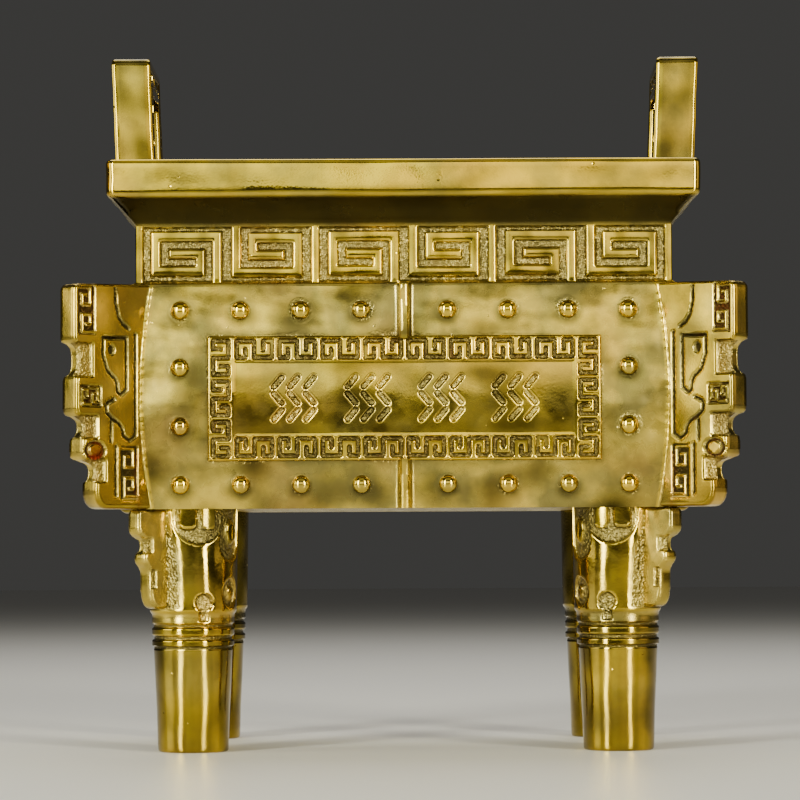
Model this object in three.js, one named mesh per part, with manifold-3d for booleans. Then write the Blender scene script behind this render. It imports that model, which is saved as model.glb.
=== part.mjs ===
// Square ding: a four-legged brass vessel on a rectangular plan, cast in one piece.
// Bulging walls with domed bosses and a raised inscription panel, a fret-carved neck under a
// heavy overhanging rim, two upright loop ears, notched corner flanges and round tapered legs.
// Millimetres, +Z up, long sides along X, origin on the floor below the centre of the vessel.

import * as THREE from 'three';
import { mergeVertices } from 'three/addons/utils/BufferGeometryUtils.js';
import Module from 'manifold-3d';

const wasm = await Module();
wasm.setup();

// ---------------------------------------------------------------- driving dimensions

const TOTAL_HEIGHT = 199.7;
const LEG_HEIGHT = 68.5;
const BODY_TOP = 132;
const NECK_TOP = 148;
const RIM_BOTTOM = 155.3;
const RIM_TOP = 166;

const BODY_HALF = { x: 76, y: 52 };
const BODY_BULGE = 3.1;
const BODY_STEPS = 5;
const NECK_HALF = { x: 75.4, y: 51.4 };
const RIM_HALF = { x: 83, y: 58.8 };
const RIM_TAPER = 1.2;
const RIM_EDGE = 0.8;

const FLOOR_TOP = LEG_HEIGHT + 4.5;
const CAVITY_HALF = { x: 71, y: 47 };
const CAVITY_FLOOR_HALF = { x: 70.6, y: 46.6 };
const CAVITY_BULGE = 3.4;

// Fret of the neck: square hooks in pairs, a divider between pairs, on a sunk ground.
const FRET_DEPTH = 1.2;
const FRET_BAR = 2.8;
const FRET_UNIT = 20;
const FRET_UNIT_GAP = 2.6;
const FRET_PAIR_PITCH = 49.8;
const FRET_DIVIDER = 2.4;
const FRET_GROUND = { low: 132.4, high: 147.6 };
const FRET_ROWS = { low: 134, middle: 138.8, high: 143.6 };
const CORNER_POST = 2.2;

// Bosses in a frame round each wall.
const BOSS_RADIUS = 2.5;
const BOSS_HEIGHT = 2.2;
const BOSS_SIDES = 6;
const BOSS_ROWS = { bottom: 75.2, lower: 91.5, upper: 107.9, top: 124 };
const LONG_BOSSES = { first: 12.1, pitch: 16.9, perHalf: 4 };
const SHORT_BOSSES = { first: 0, pitch: 16.9, perHalf: 3 };

// Raised panel for the inscription, and the ribs above and below it.
const PANEL = { half: 55, low: 81.8, high: 116.7, proud: 1.2 };
const PANEL_BORDER = 6.6;
const RIB = { width: 3.4, proud: 2.8 };
const GLYPH = { pitch: 20.6, width: 13.4, height: 13.6, depth: 0.6, stroke: 1.5 };

// Corner flanges: plates on the diagonals, their outer edge cut into four teeth.
const FLANGE_THICKNESS = 7;
const FLANGE_ROOT = 8;
const FLANGE_TOP = 131.6;
const FLANGE_TEETH = [
  { low: 114.2, high: FLANGE_TOP, reach: 23.6 },
  { low: 94.2, high: 105.1, reach: 22.8 },
  { low: 82.1, high: 88.1, reach: 20.5 },
  { low: LEG_HEIGHT, high: 76, reach: 15.9 },
];
const FLANGE_NOTCHES = [
  { cut: 21.1, pocket: 17.1 },
  { cut: 19.2, pocket: 15.5 },
  { cut: 15.2, pocket: 12.6 },
];
const POCKET_DEPTH = 1.5;
const LINE_DEPTH = 0.8;
const LINE_WIDTH = 0.95;

// Legs: round and tapered, with a mask in relief above two rings, and a small flange each.
const LEG_CENTRE = { x: 60.3, y: 36.3 };
const LEG_RADIUS = { foot: 9.8, knee: 11.5, band: 11.7, ring: 12, hip: 12.3, top: 12.8 };
const LEG_SIDES = 12;
const LEG_RINGS = [{ low: 31.1, high: 32.9 }, { low: 33.9, high: 35.8 }];
const LEG_BAND_TOP = 39.3;
const LEG_FLANGE_THICKNESS = 5.2;
const LEG_RELIEF = 0.9;

// Ears: upright loops on the short sides of the rim, leaning out a little.
const EAR = { thickness: 11.1, width: 42, post: 9, bar: 9.4, foot: 71.7, lean: 1.3, edge: 1.4 };

// ---------------------------------------------------------------- solids

function toSolid(geometry, matrix = new THREE.Matrix4()) {
  const shape = geometry.index ? geometry.toNonIndexed() : geometry.clone();
  shape.deleteAttribute('normal');
  shape.deleteAttribute('uv');
  shape.applyMatrix4(matrix);
  const merged = mergeVertices(shape, 1e-4);
  const triangles = Uint32Array.from(merged.index.array);
  if (matrix.determinant() < 0) {
    for (let i = 0; i < triangles.length; i += 3) {
      [triangles[i], triangles[i + 1]] = [triangles[i + 1], triangles[i]];
    }
  }
  const vertices = Float32Array.from(merged.attributes.position.array);
  const mesh = new wasm.Mesh({ numProp: 3, vertProperties: vertices, triVerts: triangles });
  return new wasm.Manifold(mesh);
}

function joined(solids) {
  return solids.reduce((all, one) => all.add(one));
}

function box(x, y, z) {
  const geometry = new THREE.BoxGeometry(x[1] - x[0], y[1] - y[0], z[1] - z[0]);
  return geometry.translate((x[0] + x[1]) / 2, (y[0] + y[1]) / 2, (z[0] + z[1]) / 2);
}

// A closed stack of centred rectangles, each { x, y, z } with its half sizes and its height.
function rectangleStack(levels) {
  const corners = [[-1, -1], [1, -1], [1, 1], [-1, 1]];
  const positions = levels.flatMap((level) =>
    corners.flatMap(([sx, sy]) => [sx * level.x, sy * level.y, level.z]));
  const index = [0, 2, 1, 0, 3, 2];
  for (let level = 0; level < levels.length - 1; level += 1) {
    for (let side = 0; side < 4; side += 1) {
      const a = level * 4 + side;
      const b = level * 4 + (side + 1) % 4;
      index.push(a, b, b + 4, a, b + 4, a + 4);
    }
  }
  const last = (levels.length - 1) * 4;
  index.push(last, last + 1, last + 2, last, last + 2, last + 3);
  const geometry = new THREE.BufferGeometry();
  geometry.setAttribute('position', new THREE.Float32BufferAttribute(positions, 3));
  geometry.setIndex(index);
  return geometry;
}

// A flat outline given as [x, y] points, made into a slab between two heights.
function slab(points, low, high) {
  const shape = new THREE.Shape(points.map(([x, y]) => new THREE.Vector2(x, y)));
  const geometry = new THREE.ExtrudeGeometry(shape, { depth: high - low, bevelEnabled: false });
  return geometry.translate(0, 0, low);
}

// The slab under a line of constant width that runs through the given points.
function stroke(points, width, low, high, closed = false) {
  const path = points.map(([x, y]) => new THREE.Vector2(x, y));
  if (closed && THREE.ShapeUtils.isClockWise(path)) {
    path.reverse();
  }
  const count = path.length;
  const sides = { left: [], right: [] };
  path.forEach((point, i) => {
    const before = path[closed ? (i + count - 1) % count : Math.max(i - 1, 0)];
    const after = path[closed ? (i + 1) % count : Math.min(i + 1, count - 1)];
    const arriving = point.clone().sub(before).normalize();
    const leaving = after.clone().sub(point).normalize();
    const along = arriving.clone().add(leaving).normalize();
    const across = new THREE.Vector2(-along.y, along.x);
    const unit = arriving.lengthSq() > 0 ? arriving : leaving;
    const spread = width / 2 / Math.max(Math.abs(unit.dot(along)), 0.5);
    sides.left.push([point.x + across.x * spread, point.y + across.y * spread]);
    sides.right.push([point.x - across.x * spread, point.y - across.y * spread]);
  });
  if (!closed) {
    return slab([...sides.right, ...sides.left.reverse()], low, high);
  }
  const shape = new THREE.Shape(sides.right.map(([x, y]) => new THREE.Vector2(x, y)));
  shape.holes.push(new THREE.Path(sides.left.map(([x, y]) => new THREE.Vector2(x, y))));
  const geometry = new THREE.ExtrudeGeometry(shape, { depth: high - low, bevelEnabled: false });
  return geometry.translate(0, 0, low);
}

// ---------------------------------------------------------------- places on the vessel

// How far the wall stands out beyond its corners at a height.
function bulgeAt(z, rise = BODY_BULGE) {
  const t = (z - LEG_HEIGHT) / (BODY_TOP - LEG_HEIGHT);
  return rise * 4 * t * (1 - t);
}

// A wall's own frame: x to the right seen from outside, y up, z out of the wall.
// Turn 0 is the front wall, and each further turn is the next one anticlockwise from above.
function wallFrame(turn, distance) {
  const upright = new THREE.Matrix4().makeRotationX(Math.PI / 2);
  const outward = new THREE.Matrix4().makeTranslation(0, -distance, 0);
  const around = new THREE.Matrix4().makeRotationZ(turn * Math.PI / 2);
  return around.multiply(outward).multiply(upright);
}

const WALLS = [
  { turn: 0, long: true },
  { turn: 1, long: false },
  { turn: 2, long: true },
  { turn: 3, long: false },
];

const CORNERS = [[-1, -1], [1, -1], [1, 1], [-1, 1]];

// A plate on a corner's diagonal: x outwards from the point, y up, z across the plate.
function cornerFrame([sx, sy], point) {
  const outward = new THREE.Vector3(sx, sy, 0).normalize();
  const across = new THREE.Vector3(-sx, sy, 0).normalize();
  const frame = new THREE.Matrix4().makeBasis(outward, new THREE.Vector3(0, 0, 1), across);
  return frame.setPosition(sx * point.x, sy * point.y, 0);
}

// ---------------------------------------------------------------- vessel

function shell() {
  const levels = [];
  for (let i = 0; i <= BODY_STEPS; i += 1) {
    const z = LEG_HEIGHT + (BODY_TOP - LEG_HEIGHT) * i / BODY_STEPS;
    levels.push({ x: BODY_HALF.x + bulgeAt(z), y: BODY_HALF.y + bulgeAt(z), z });
  }
  const underRim = { x: RIM_HALF.x - RIM_TAPER, y: RIM_HALF.y - RIM_TAPER };
  levels.push({ ...NECK_HALF, z: BODY_TOP + 0.6 });
  levels.push({ ...NECK_HALF, z: NECK_TOP });
  levels.push({ ...underRim, z: RIM_BOTTOM });
  levels.push({ ...RIM_HALF, z: RIM_BOTTOM + 2 });
  levels.push({ ...RIM_HALF, z: RIM_TOP - RIM_EDGE });
  levels.push({ x: RIM_HALF.x - RIM_EDGE, y: RIM_HALF.y - RIM_EDGE, z: RIM_TOP });
  return toSolid(rectangleStack(levels));
}

function cavity() {
  const levels = [];
  for (let i = 0; i <= BODY_STEPS; i += 1) {
    const t = i / BODY_STEPS;
    const out = CAVITY_BULGE * 4 * t * (1 - t);
    levels.push({
      x: THREE.MathUtils.lerp(CAVITY_FLOOR_HALF.x, CAVITY_HALF.x, t) + out,
      y: THREE.MathUtils.lerp(CAVITY_FLOOR_HALF.y, CAVITY_HALF.y, t) + out,
      z: THREE.MathUtils.lerp(FLOOR_TOP, BODY_TOP, t),
    });
  }
  levels.push({ ...CAVITY_HALF, z: RIM_TOP + 1 });
  return toSolid(rectangleStack(levels));
}

// One hook of the fret, 20 mm long: a post from the lower edge, over the top, down, back
// along the bottom and in. Turned half round it is the other hook of the pair.
function fretHook(left, halfTurn) {
  const right = left + FRET_UNIT;
  const bar = FRET_BAR;
  const { low, middle, high } = FRET_ROWS;
  const innerRight = right - bar - 1.9;
  const bars = [
    [[right - bar, right], [FRET_GROUND.low - 0.5, high + bar]],
    [[left, right], [high, high + bar]],
    [[left, left + bar], [low, high + bar]],
    [[left, innerRight], [low, low + bar]],
    [[innerRight - bar, innerRight], [low, middle + bar]],
    [[left + bar + 2.2, innerRight], [middle, middle + bar]],
  ];
  if (!halfTurn) {
    return bars;
  }
  const centre = left + right;
  const level = FRET_GROUND.low + FRET_GROUND.high;
  return bars.map(([x, z]) => [[centre - x[1], centre - x[0]], [level - z[1], level - z[0]]]);
}

// The sunk ground of one side of the neck, with the raised bars left standing.
function fretGround({ turn, long }) {
  const half = long ? NECK_HALF.x : NECK_HALF.y;
  const distance = long ? NECK_HALF.y : NECK_HALF.x;
  const frame = wallFrame(turn, distance);
  const pairs = long ? [-1, 0, 1] : [-0.5, 0.5];
  const dividers = long ? [-0.5, 0.5] : [0];
  const bars = pairs.flatMap((step) => {
    const centre = step * FRET_PAIR_PITCH;
    const firstLeft = centre - FRET_UNIT_GAP / 2 - FRET_UNIT;
    return [
      ...fretHook(firstLeft, false),
      ...fretHook(centre + FRET_UNIT_GAP / 2, true),
    ];
  });
  dividers.forEach((step) => {
    const centre = step * FRET_PAIR_PITCH;
    const sides = [centre - FRET_DIVIDER / 2, centre + FRET_DIVIDER / 2];
    bars.push([sides, [FRET_GROUND.low - 0.5, FRET_GROUND.high + 0.5]]);
  });
  const across = [-half + CORNER_POST, half - CORNER_POST];
  const height = [FRET_GROUND.low, FRET_GROUND.high];
  const ground = toSolid(box(across, height, [-FRET_DEPTH, 1]), frame);
  const standing = bars.map(([x, z]) => toSolid(box(x, z, [-FRET_DEPTH - 1, 2]), frame));
  return ground.subtract(joined(standing));
}

// A boss as a low dome of revolution, its foot sunk a little into the wall.
function boss(turn, distance, x, z) {
  const profile = [[0, -1.5], [BOSS_RADIUS, -1.5]];
  profile.push([BOSS_RADIUS * 0.72, BOSS_HEIGHT * 0.75], [0, BOSS_HEIGHT]);
  const points = profile.map(([r, h]) => new THREE.Vector2(r, h));
  const dome = new THREE.LatheGeometry(points, BOSS_SIDES);
  const place = new THREE.Matrix4().makeTranslation(x, z, bulgeAt(z));
  const upright = new THREE.Matrix4().makeRotationX(Math.PI / 2);
  return toSolid(dome, wallFrame(turn, distance).multiply(place).multiply(upright));
}

function bossPlaces({ first, pitch, perHalf }) {
  const across = [];
  for (let i = 0; i < perHalf; i += 1) {
    const x = first + i * pitch;
    across.push(x);
    if (x > 0) {
      across.push(-x);
    }
  }
  const outer = first + (perHalf - 1) * pitch;
  const places = [];
  across.forEach((x) => places.push([x, BOSS_ROWS.top], [x, BOSS_ROWS.bottom]));
  [-outer, outer].forEach((x) => places.push([x, BOSS_ROWS.upper], [x, BOSS_ROWS.lower]));
  return places;
}

function bosses({ turn, long }) {
  const distance = long ? BODY_HALF.y : BODY_HALF.x;
  const places = bossPlaces(long ? LONG_BOSSES : SHORT_BOSSES);
  return joined(places.map(([x, z]) => boss(turn, distance, x, z)));
}

// A slice of the bulging wall: across and up in the wall, and out from its surface.
function wallSlice(turn, distance, across, up, out, steps = 4) {
  const outer = [];
  for (let i = 0; i <= steps; i += 1) {
    const z = THREE.MathUtils.lerp(up[0], up[1], i / steps);
    outer.push([bulgeAt(z) + out[1], z]);
  }
  const thickness = out[1] - out[0];
  const inner = [...outer].reverse().map(([x, z]) => [x - thickness, z]);
  const slice = slab([...outer, ...inner], across[0], across[1]);
  const sideways = new THREE.Matrix4().makeBasis(
    new THREE.Vector3(0, 0, 1),
    new THREE.Vector3(0, 1, 0),
    new THREE.Vector3(1, 0, 0),
  );
  return toSolid(slice, wallFrame(turn, distance).multiply(sideways));
}

// The raised panel of a long wall, with a shallow step down to its middle field.
function panel(turn) {
  const distance = BODY_HALF.y;
  const { half, low, high, proud } = PANEL;
  const plate = wallSlice(turn, distance, [-half, half], [low, high], [-1.5, proud]);
  const inner = half - PANEL_BORDER;
  const field = [low + PANEL_BORDER, high - PANEL_BORDER];
  const step = wallSlice(turn, distance, [-inner, inner], field, [proud - 0.3, proud + 1]);
  return plate.subtract(step);
}

function ribs(turn) {
  const across = [-RIB.width / 2, RIB.width / 2];
  const upper = [PANEL.high - 0.5, BODY_TOP];
  const lower = [LEG_HEIGHT, PANEL.low + 0.5];
  return [upper, lower].map((up) =>
    wallSlice(turn, BODY_HALF.y, across, up, [-1.5, RIB.proud], 3));
}

// Four square blocks of rows of short slanting strokes, sunk in the front panel.
function inscription(turn) {
  const middle = (PANEL.low + PANEL.high) / 2;
  const rows = [-1, 0, 1];
  const strokes = [];
  [-1.5, -0.5, 0.5, 1.5].forEach((place) => {
    rows.forEach((row) => {
      const z = middle + row * GLYPH.height / 3;
      const slant = row === 0 ? -1 : 1;
      rows.forEach((column) => {
        const x = place * GLYPH.pitch + column * GLYPH.width / 3;
        const line = [[x - slant * 1.1, z - 1.3], [x + slant * 1.1, z + 1.3]];
        const surface = bulgeAt(z) + PANEL.proud - 0.3;
        const cut = stroke(line, GLYPH.stroke, surface - GLYPH.depth, surface + 2);
        strokes.push(toSolid(cut, wallFrame(turn, BODY_HALF.y)));
      });
    });
  });
  return joined(strokes);
}

// ---------------------------------------------------------------- corner flanges

function flangeOutline() {
  const points = [[-FLANGE_ROOT, FLANGE_TOP], [-FLANGE_ROOT, LEG_HEIGHT]];
  const bottom = FLANGE_TEETH[FLANGE_TEETH.length - 1];
  points.push([bottom.reach - 2.2, bottom.low], [bottom.reach, bottom.low + 3]);
  for (let i = FLANGE_TEETH.length - 1; i >= 0; i -= 1) {
    const tooth = FLANGE_TEETH[i];
    points.push([tooth.reach, tooth.high]);
    if (i > 0) {
      const notch = FLANGE_NOTCHES[i - 1];
      const next = FLANGE_TEETH[i - 1];
      points.push([notch.cut, tooth.high + 1.4], [notch.cut, next.low - 1.4]);
      points.push([next.reach, next.low]);
    }
  }
  return points;
}

function ellipse(x, y, halfX, halfY, sides) {
  const points = [];
  for (let i = 0; i < sides; i += 1) {
    const angle = 2 * Math.PI * i / sides;
    points.push([x + halfX * Math.cos(angle), y + halfY * Math.sin(angle)]);
  }
  return points;
}

function rectangle([left, right], [low, high]) {
  return [[left, low], [right, low], [right, high], [left, high]];
}

// The engraving of a flange face: a beast's head in profile and blocks of square spirals.
function flangeCuts(from, to) {
  const brow = [[9.2, 129.7], [8.8, 124], [4.5, 118.8]];
  const jaw = [[2.1, 117.2], [2.1, 89], [5, 87.7], [8, 92.2], [12.3, 95.6], [9.8, 98.9]];
  const eye = [[5.3, 116], [13.6, 116], [13, 108.4], [9, 104.2], [7.6, 100.4], [5.3, 102.6]];
  const lines = [
    stroke(brow, LINE_WIDTH, from, to),
    stroke(jaw, LINE_WIDTH, from, to),
    stroke(eye, LINE_WIDTH, from, to, true),
    stroke([[9, 85.8], [9, 72.2]], LINE_WIDTH, from, to),
    slab(ellipse(10.6, 112.4, 1.2, 1.5, 6), from, to),
    slab(ellipse(16.3, 85, 3.1, 2.2, 6), from, to),
  ];
  const blocks = [
    [[16.6, 21.8], [117.3, 130]],
    [[14.4, 21.2], [97, 102.4]],
    [[1.5, 6.9], [71.4, 85.8]],
  ];
  blocks.forEach(([x, z]) => lines.push(slab(rectangle(x, z), from, to)));
  return lines;
}

function flangePockets(from, to) {
  return FLANGE_NOTCHES.map((notch, i) => {
    const z = [FLANGE_TEETH[i + 1].high, FLANGE_TEETH[i].low];
    return slab(rectangle([notch.pocket, FLANGE_TEETH[0].reach + 1], z), from, to);
  });
}

function flange(corner) {
  const frame = cornerFrame(corner, BODY_HALF);
  const face = FLANGE_THICKNESS / 2;
  const plate = toSolid(slab(flangeOutline(), -face, face), frame);
  const cuts = [
    ...flangeCuts(face - LINE_DEPTH, face + 1),
    ...flangeCuts(-face - 1, LINE_DEPTH - face),
    ...flangePockets(face - POCKET_DEPTH, face + 1),
    ...flangePockets(-face - 1, POCKET_DEPTH - face),
  ];
  return plate.subtract(joined(cuts.map((cut) => toSolid(cut, frame))));
}

// ---------------------------------------------------------------- legs

function legProfile() {
  const { foot, knee, band, ring, hip, top } = LEG_RADIUS;
  const profile = [[0, 0], [foot, 0], [knee, LEG_RINGS[0].low - 0.4]];
  const groove = (LEG_RINGS[0].high + LEG_RINGS[1].low) / 2;
  profile.push([ring, LEG_RINGS[0].low], [ring, LEG_RINGS[0].high], [knee, groove]);
  profile.push([ring, LEG_RINGS[1].low], [ring, LEG_RINGS[1].high]);
  profile.push([band, LEG_RINGS[1].high + 0.6], [band, LEG_BAND_TOP], [hip, LEG_BAND_TOP + 0.3]);
  profile.push([top, LEG_HEIGHT + 1], [0, LEG_HEIGHT + 1]);
  return profile.map(([r, z]) => new THREE.Vector2(r, z));
}

// The sunk parts of the mask on one side of the leg: a half disc with two tabs left
// standing in it, and a keyhole below.
function maskCuts(reach) {
  const halfDisc = [[-6.4, LEG_HEIGHT + 1], [-6.4, 64.8]];
  for (let i = 1; i < 4; i += 1) {
    const angle = Math.PI * (1 + i / 4);
    halfDisc.push([6.4 * Math.cos(angle), 64.8 + 6.4 * Math.sin(angle)]);
  }
  halfDisc.push([6.4, 64.8], [6.4, LEG_HEIGHT + 1]);
  const tabs = [[-4.8, -0.9], [1.1, 4.4]].map(([left, right]) => {
    return [[left, LEG_HEIGHT + 2], [left, 62], [right, 62], [right, LEG_HEIGHT + 2]];
  });
  const keyhole = [[-1, 38], [-2.4, 41.4], [-1.4, 44], [1.4, 44], [2.4, 41.4], [1, 38]];
  const cuts = [
    { turn: 51, outline: halfDisc, standing: tabs },
    { turn: 61, outline: keyhole, standing: [] },
  ];
  return cuts.map((cut) => ({ ...cut, low: 0, high: reach }));
}

function leg(corner) {
  const frame = cornerFrame(corner, LEG_CENTRE);
  const lathed = new THREE.LatheGeometry(legProfile(), LEG_SIDES);
  const shaft = toSolid(lathed, frame);
  const sleeveInner = LEG_RADIUS.hip - LEG_RELIEF;
  const sleeveProfile = [
    [sleeveInner, LEG_BAND_TOP - 1.2],
    [sleeveInner + 4, LEG_BAND_TOP - 1.2],
    [sleeveInner + 4, LEG_HEIGHT],
    [sleeveInner + 0.5, LEG_HEIGHT],
    [sleeveInner, LEG_BAND_TOP - 1.2],
  ].map(([r, z]) => new THREE.Vector2(r, z));
  const sleeve = toSolid(new THREE.LatheGeometry(sleeveProfile, LEG_SIDES), frame);
  const cuts = [-1, 1].flatMap((side) => maskCuts(20).map(({ turn, outline, standing: kept }) => {
    const angle = THREE.MathUtils.degToRad(side * turn);
    const around = new THREE.Matrix4().makeRotationY(angle);
    const radial = new THREE.Matrix4().makeRotationY(Math.PI / 2);
    const place = frame.clone().multiply(around).multiply(radial);
    const sunk = toSolid(slab(outline, 1, 20), place);
    const raised = kept.map((tab) => toSolid(slab(tab, 0, 21), place));
    return raised.reduce((rest, tab) => rest.subtract(tab), sunk);
  }));
  return shaft.subtract(joined(cuts).intersect(sleeve)).add(legFlange(frame));
}

function legFlange(frame) {
  const half = LEG_FLANGE_THICKNESS / 2;
  const outline = [[4, LEG_HEIGHT + 0.5], [4, 40.6], [16, 40.6], [18.2, 46.3], [18.2, 51.6]];
  outline.push([20.2, 53.4], [20.2, 55.9], [19.2, 56.8], [19.2, 59.8], [22.4, 61.6]);
  outline.push([22.4, LEG_HEIGHT + 0.5]);
  const plate = toSolid(slab(outline, -half, half), frame);
  const pockets = [[[17.4, 20], [56.4, 60.2]], [[15.9, 17.7], [46.3, 51.6]]];
  const cuts = pockets.flatMap(([x, z]) => [
    slab(rectangle(x, z), half - 1, half + 1),
    slab(rectangle(x, z), -half - 1, 1 - half),
  ]);
  return plate.subtract(joined(cuts.map((cut) => toSolid(cut, frame))));
}

// ---------------------------------------------------------------- ears

function ear(side) {
  const { thickness, width, post, bar, foot, lean, edge } = EAR;
  const half = width / 2;
  const sunk = RIM_TOP - 2;
  const outline = [[-half, sunk], [half, sunk], [half, TOTAL_HEIGHT - edge]];
  outline.push([half - edge, TOTAL_HEIGHT], [edge - half, TOTAL_HEIGHT]);
  outline.push([-half, TOTAL_HEIGHT - edge]);
  const loop = new THREE.Shape(outline.map(([y, z]) => new THREE.Vector2(y, z)));
  const inner = half - post;
  const crown = TOTAL_HEIGHT - bar;
  const opening = [[-inner, RIM_TOP], [-inner, crown - 2], [2 - inner, crown]];
  opening.push([inner - 2, crown], [inner, crown - 2], [inner, RIM_TOP]);
  loop.holes.push(new THREE.Path(opening.map(([y, z]) => new THREE.Vector2(y, z))));
  const inset = edge / 2;
  const geometry = new THREE.ExtrudeGeometry(loop, {
    depth: thickness - 2 * inset,
    bevelEnabled: true,
    bevelThickness: inset,
    bevelSize: inset,
    bevelOffset: -inset,
    bevelSegments: 1,
  });
  geometry.translate(0, 0, foot + inset);
  const onEnd = wallFrame(side, 0);
  const tilt = lean / (TOTAL_HEIGHT - RIM_TOP);
  const leaning = new THREE.Matrix4().set(
    1, 0, 0, 0,
    0, 1, 0, 0,
    0, tilt, 1, -tilt * RIM_TOP,
    0, 0, 0, 1,
  );
  return toSolid(geometry, onEnd.multiply(leaning));
}

// ---------------------------------------------------------------- the whole casting

function ding() {
  const longTurns = WALLS.filter(({ long }) => long).map(({ turn }) => turn);
  const shortTurns = WALLS.filter(({ long }) => !long).map(({ turn }) => turn);
  const outside = joined([
    shell().subtract(joined(WALLS.map(fretGround))),
    ...WALLS.map(bosses),
    ...longTurns.flatMap((turn) => [panel(turn), ...ribs(turn)]),
    ...CORNERS.map(flange),
    ...CORNERS.map(leg),
    ...shortTurns.map(ear),
  ]);
  return outside.subtract(cavity()).subtract(inscription(0));
}

function toGeometry(solid) {
  const { vertProperties, triVerts } = solid.getMesh();
  const geometry = new THREE.BufferGeometry();
  geometry.setAttribute('position', new THREE.BufferAttribute(vertProperties, 3));
  geometry.setIndex(new THREE.BufferAttribute(triVerts, 1));
  geometry.computeVertexNormals();
  return geometry;
}

const castBrass = new THREE.MeshStandardMaterial({
  name: 'cast_brass',
  color: 0xc9a24a,
  roughness: 0.28,
  metalness: 1,
});

const casting = new THREE.Mesh(toGeometry(ding()), castBrass);
casting.name = 'ding';

const part = new THREE.Group();
part.add(casting);

export default part;
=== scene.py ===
"""The looks of a square ding: a four-legged vessel of cast brass, polished by hand.

The casting is dressed zone by zone, each zone a closed mesh on the frame's own sizes: the
hollow vessel with its rim, the fret round the neck, the four bossed walls, the raised
panels, the corner flanges, the legs and the ears. High faces are polished, and the sunk
grounds between them keep the dull sandy skin of the mould.
"""

import math

import bpy
import numpy as np
from mathutils import Matrix, Vector


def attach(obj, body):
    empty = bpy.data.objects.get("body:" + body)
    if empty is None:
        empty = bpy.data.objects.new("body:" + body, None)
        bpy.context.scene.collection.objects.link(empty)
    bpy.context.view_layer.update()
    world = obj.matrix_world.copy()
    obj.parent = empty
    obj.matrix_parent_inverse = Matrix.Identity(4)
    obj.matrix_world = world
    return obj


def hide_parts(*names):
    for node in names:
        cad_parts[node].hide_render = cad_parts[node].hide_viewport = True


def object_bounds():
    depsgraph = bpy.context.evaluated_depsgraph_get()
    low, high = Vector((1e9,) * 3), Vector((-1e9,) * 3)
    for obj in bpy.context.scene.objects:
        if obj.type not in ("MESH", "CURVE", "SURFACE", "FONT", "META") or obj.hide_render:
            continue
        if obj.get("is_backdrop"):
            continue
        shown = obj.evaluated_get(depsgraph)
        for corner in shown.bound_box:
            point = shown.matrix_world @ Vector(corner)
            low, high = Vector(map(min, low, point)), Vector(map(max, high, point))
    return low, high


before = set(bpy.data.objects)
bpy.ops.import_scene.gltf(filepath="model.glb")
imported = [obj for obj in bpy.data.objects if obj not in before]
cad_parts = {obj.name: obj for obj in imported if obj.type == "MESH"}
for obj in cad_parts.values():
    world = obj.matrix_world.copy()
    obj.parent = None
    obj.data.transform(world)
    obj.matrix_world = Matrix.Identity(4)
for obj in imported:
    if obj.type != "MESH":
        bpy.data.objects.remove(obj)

bl_info = {
    "name": "Square brass ding",
    "version": (1, 0, 0),
    "blender": (4, 5, 0),
    "location": "View3D > Sidebar > Ding",
    "description": "Models a cast brass ding zone by zone, and its stage",
    "category": "Add Mesh",
}

MM = 0.001
FAR = 1000.0  # In millimetres, beyond any point of the vessel.
BODY = "root"
NODE = "ding"

CAD_LOW, CAD_HIGH = (tuple(corner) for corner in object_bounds())
TOTAL_HEIGHT = CAD_HIGH[2] / MM


# ------------------------------------------------------------------ sizes and colours


def linear(code):
    """The linear RGB values of an sRGB hex colour."""
    values = [int(code[i:i + 2], 16) / 255 for i in (1, 3, 5)]
    return tuple(v / 12.92 if v <= 0.04045 else ((v + 0.055) / 1.055) ** 2.4 for v in values)


def length(name, default, description):
    return bpy.props.FloatProperty(
        name=name, default=default * MM, description=description,
        unit="LENGTH", subtype="DISTANCE", precision=4)


def colour(name, code, description):
    return bpy.props.FloatVectorProperty(
        name=name, default=linear(code), description=description,
        subtype="COLOR", size=3, min=0.0, max=1.0)


class DingSizes(bpy.types.PropertyGroup):
    """Sizes of the vessel, from the floor up"""

    leg_height: length("Leg height", 68.5, "Floor to the underside of the body")
    body_top: length("Body top", 132.0, "Floor to the top of the bossed walls")
    neck_top: length("Neck top", 148.0, "Floor to the top of the fret")
    rim_bottom: length("Rim bottom", 155.3, "Floor to the lower edge of the rim's face")
    rim_top: length("Rim top", 166.0, "Floor to the flat top of the rim")
    body_half_x: length("Body half length", 76.0, "Half the length of the body at its corners")
    body_half_y: length("Body half depth", 52.0, "Half the depth of the body at its corners")
    bulge: length("Bulge", 3.1, "How far the walls swell out at mid-height")
    neck_half_x: length("Neck half length", 75.4, "Half the length of the neck")
    neck_half_y: length("Neck half depth", 51.4, "Half the depth of the neck")
    rim_half_x: length("Rim half length", 83.0, "Half the length of the rim")
    rim_half_y: length("Rim half depth", 58.8, "Half the depth of the rim")
    leg_x: length("Leg place, length", 60.3, "Centre of a leg from the middle, along the vessel")
    leg_y: length("Leg place, depth", 36.3, "Centre of a leg from the middle, across the vessel")
    flange: length("Flange thickness", 7.0, "Thickness of a corner flange")
    ear_width: length("Ear width", 42.0, "Width of an ear across the vessel")
    ear_post: length("Ear post", 9.0, "Width of an ear's posts")
    ear_thickness: length("Ear thickness", 11.1, "Thickness of an ear")


class DingColours(bpy.types.PropertyGroup):
    """Colours of the metal and the stage"""

    polished: colour("Polished brass", "#DDBC34", "The hand-polished high faces")
    satin: colour("Satin brass", "#D0BA5C", "The walls, rubbed but not polished")
    sunk: colour("Mould skin", "#625730", "The dull sandy grounds")
    oxide: colour("Oxide", "#4C2C16", "Brown residue in the deepest corners")
    floor: colour("Floor", "#EAE7E1", "The floor of the stage")


def sizes():
    """The sizes that the sidebar holds."""
    return bpy.context.scene.ding_sizes


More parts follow.
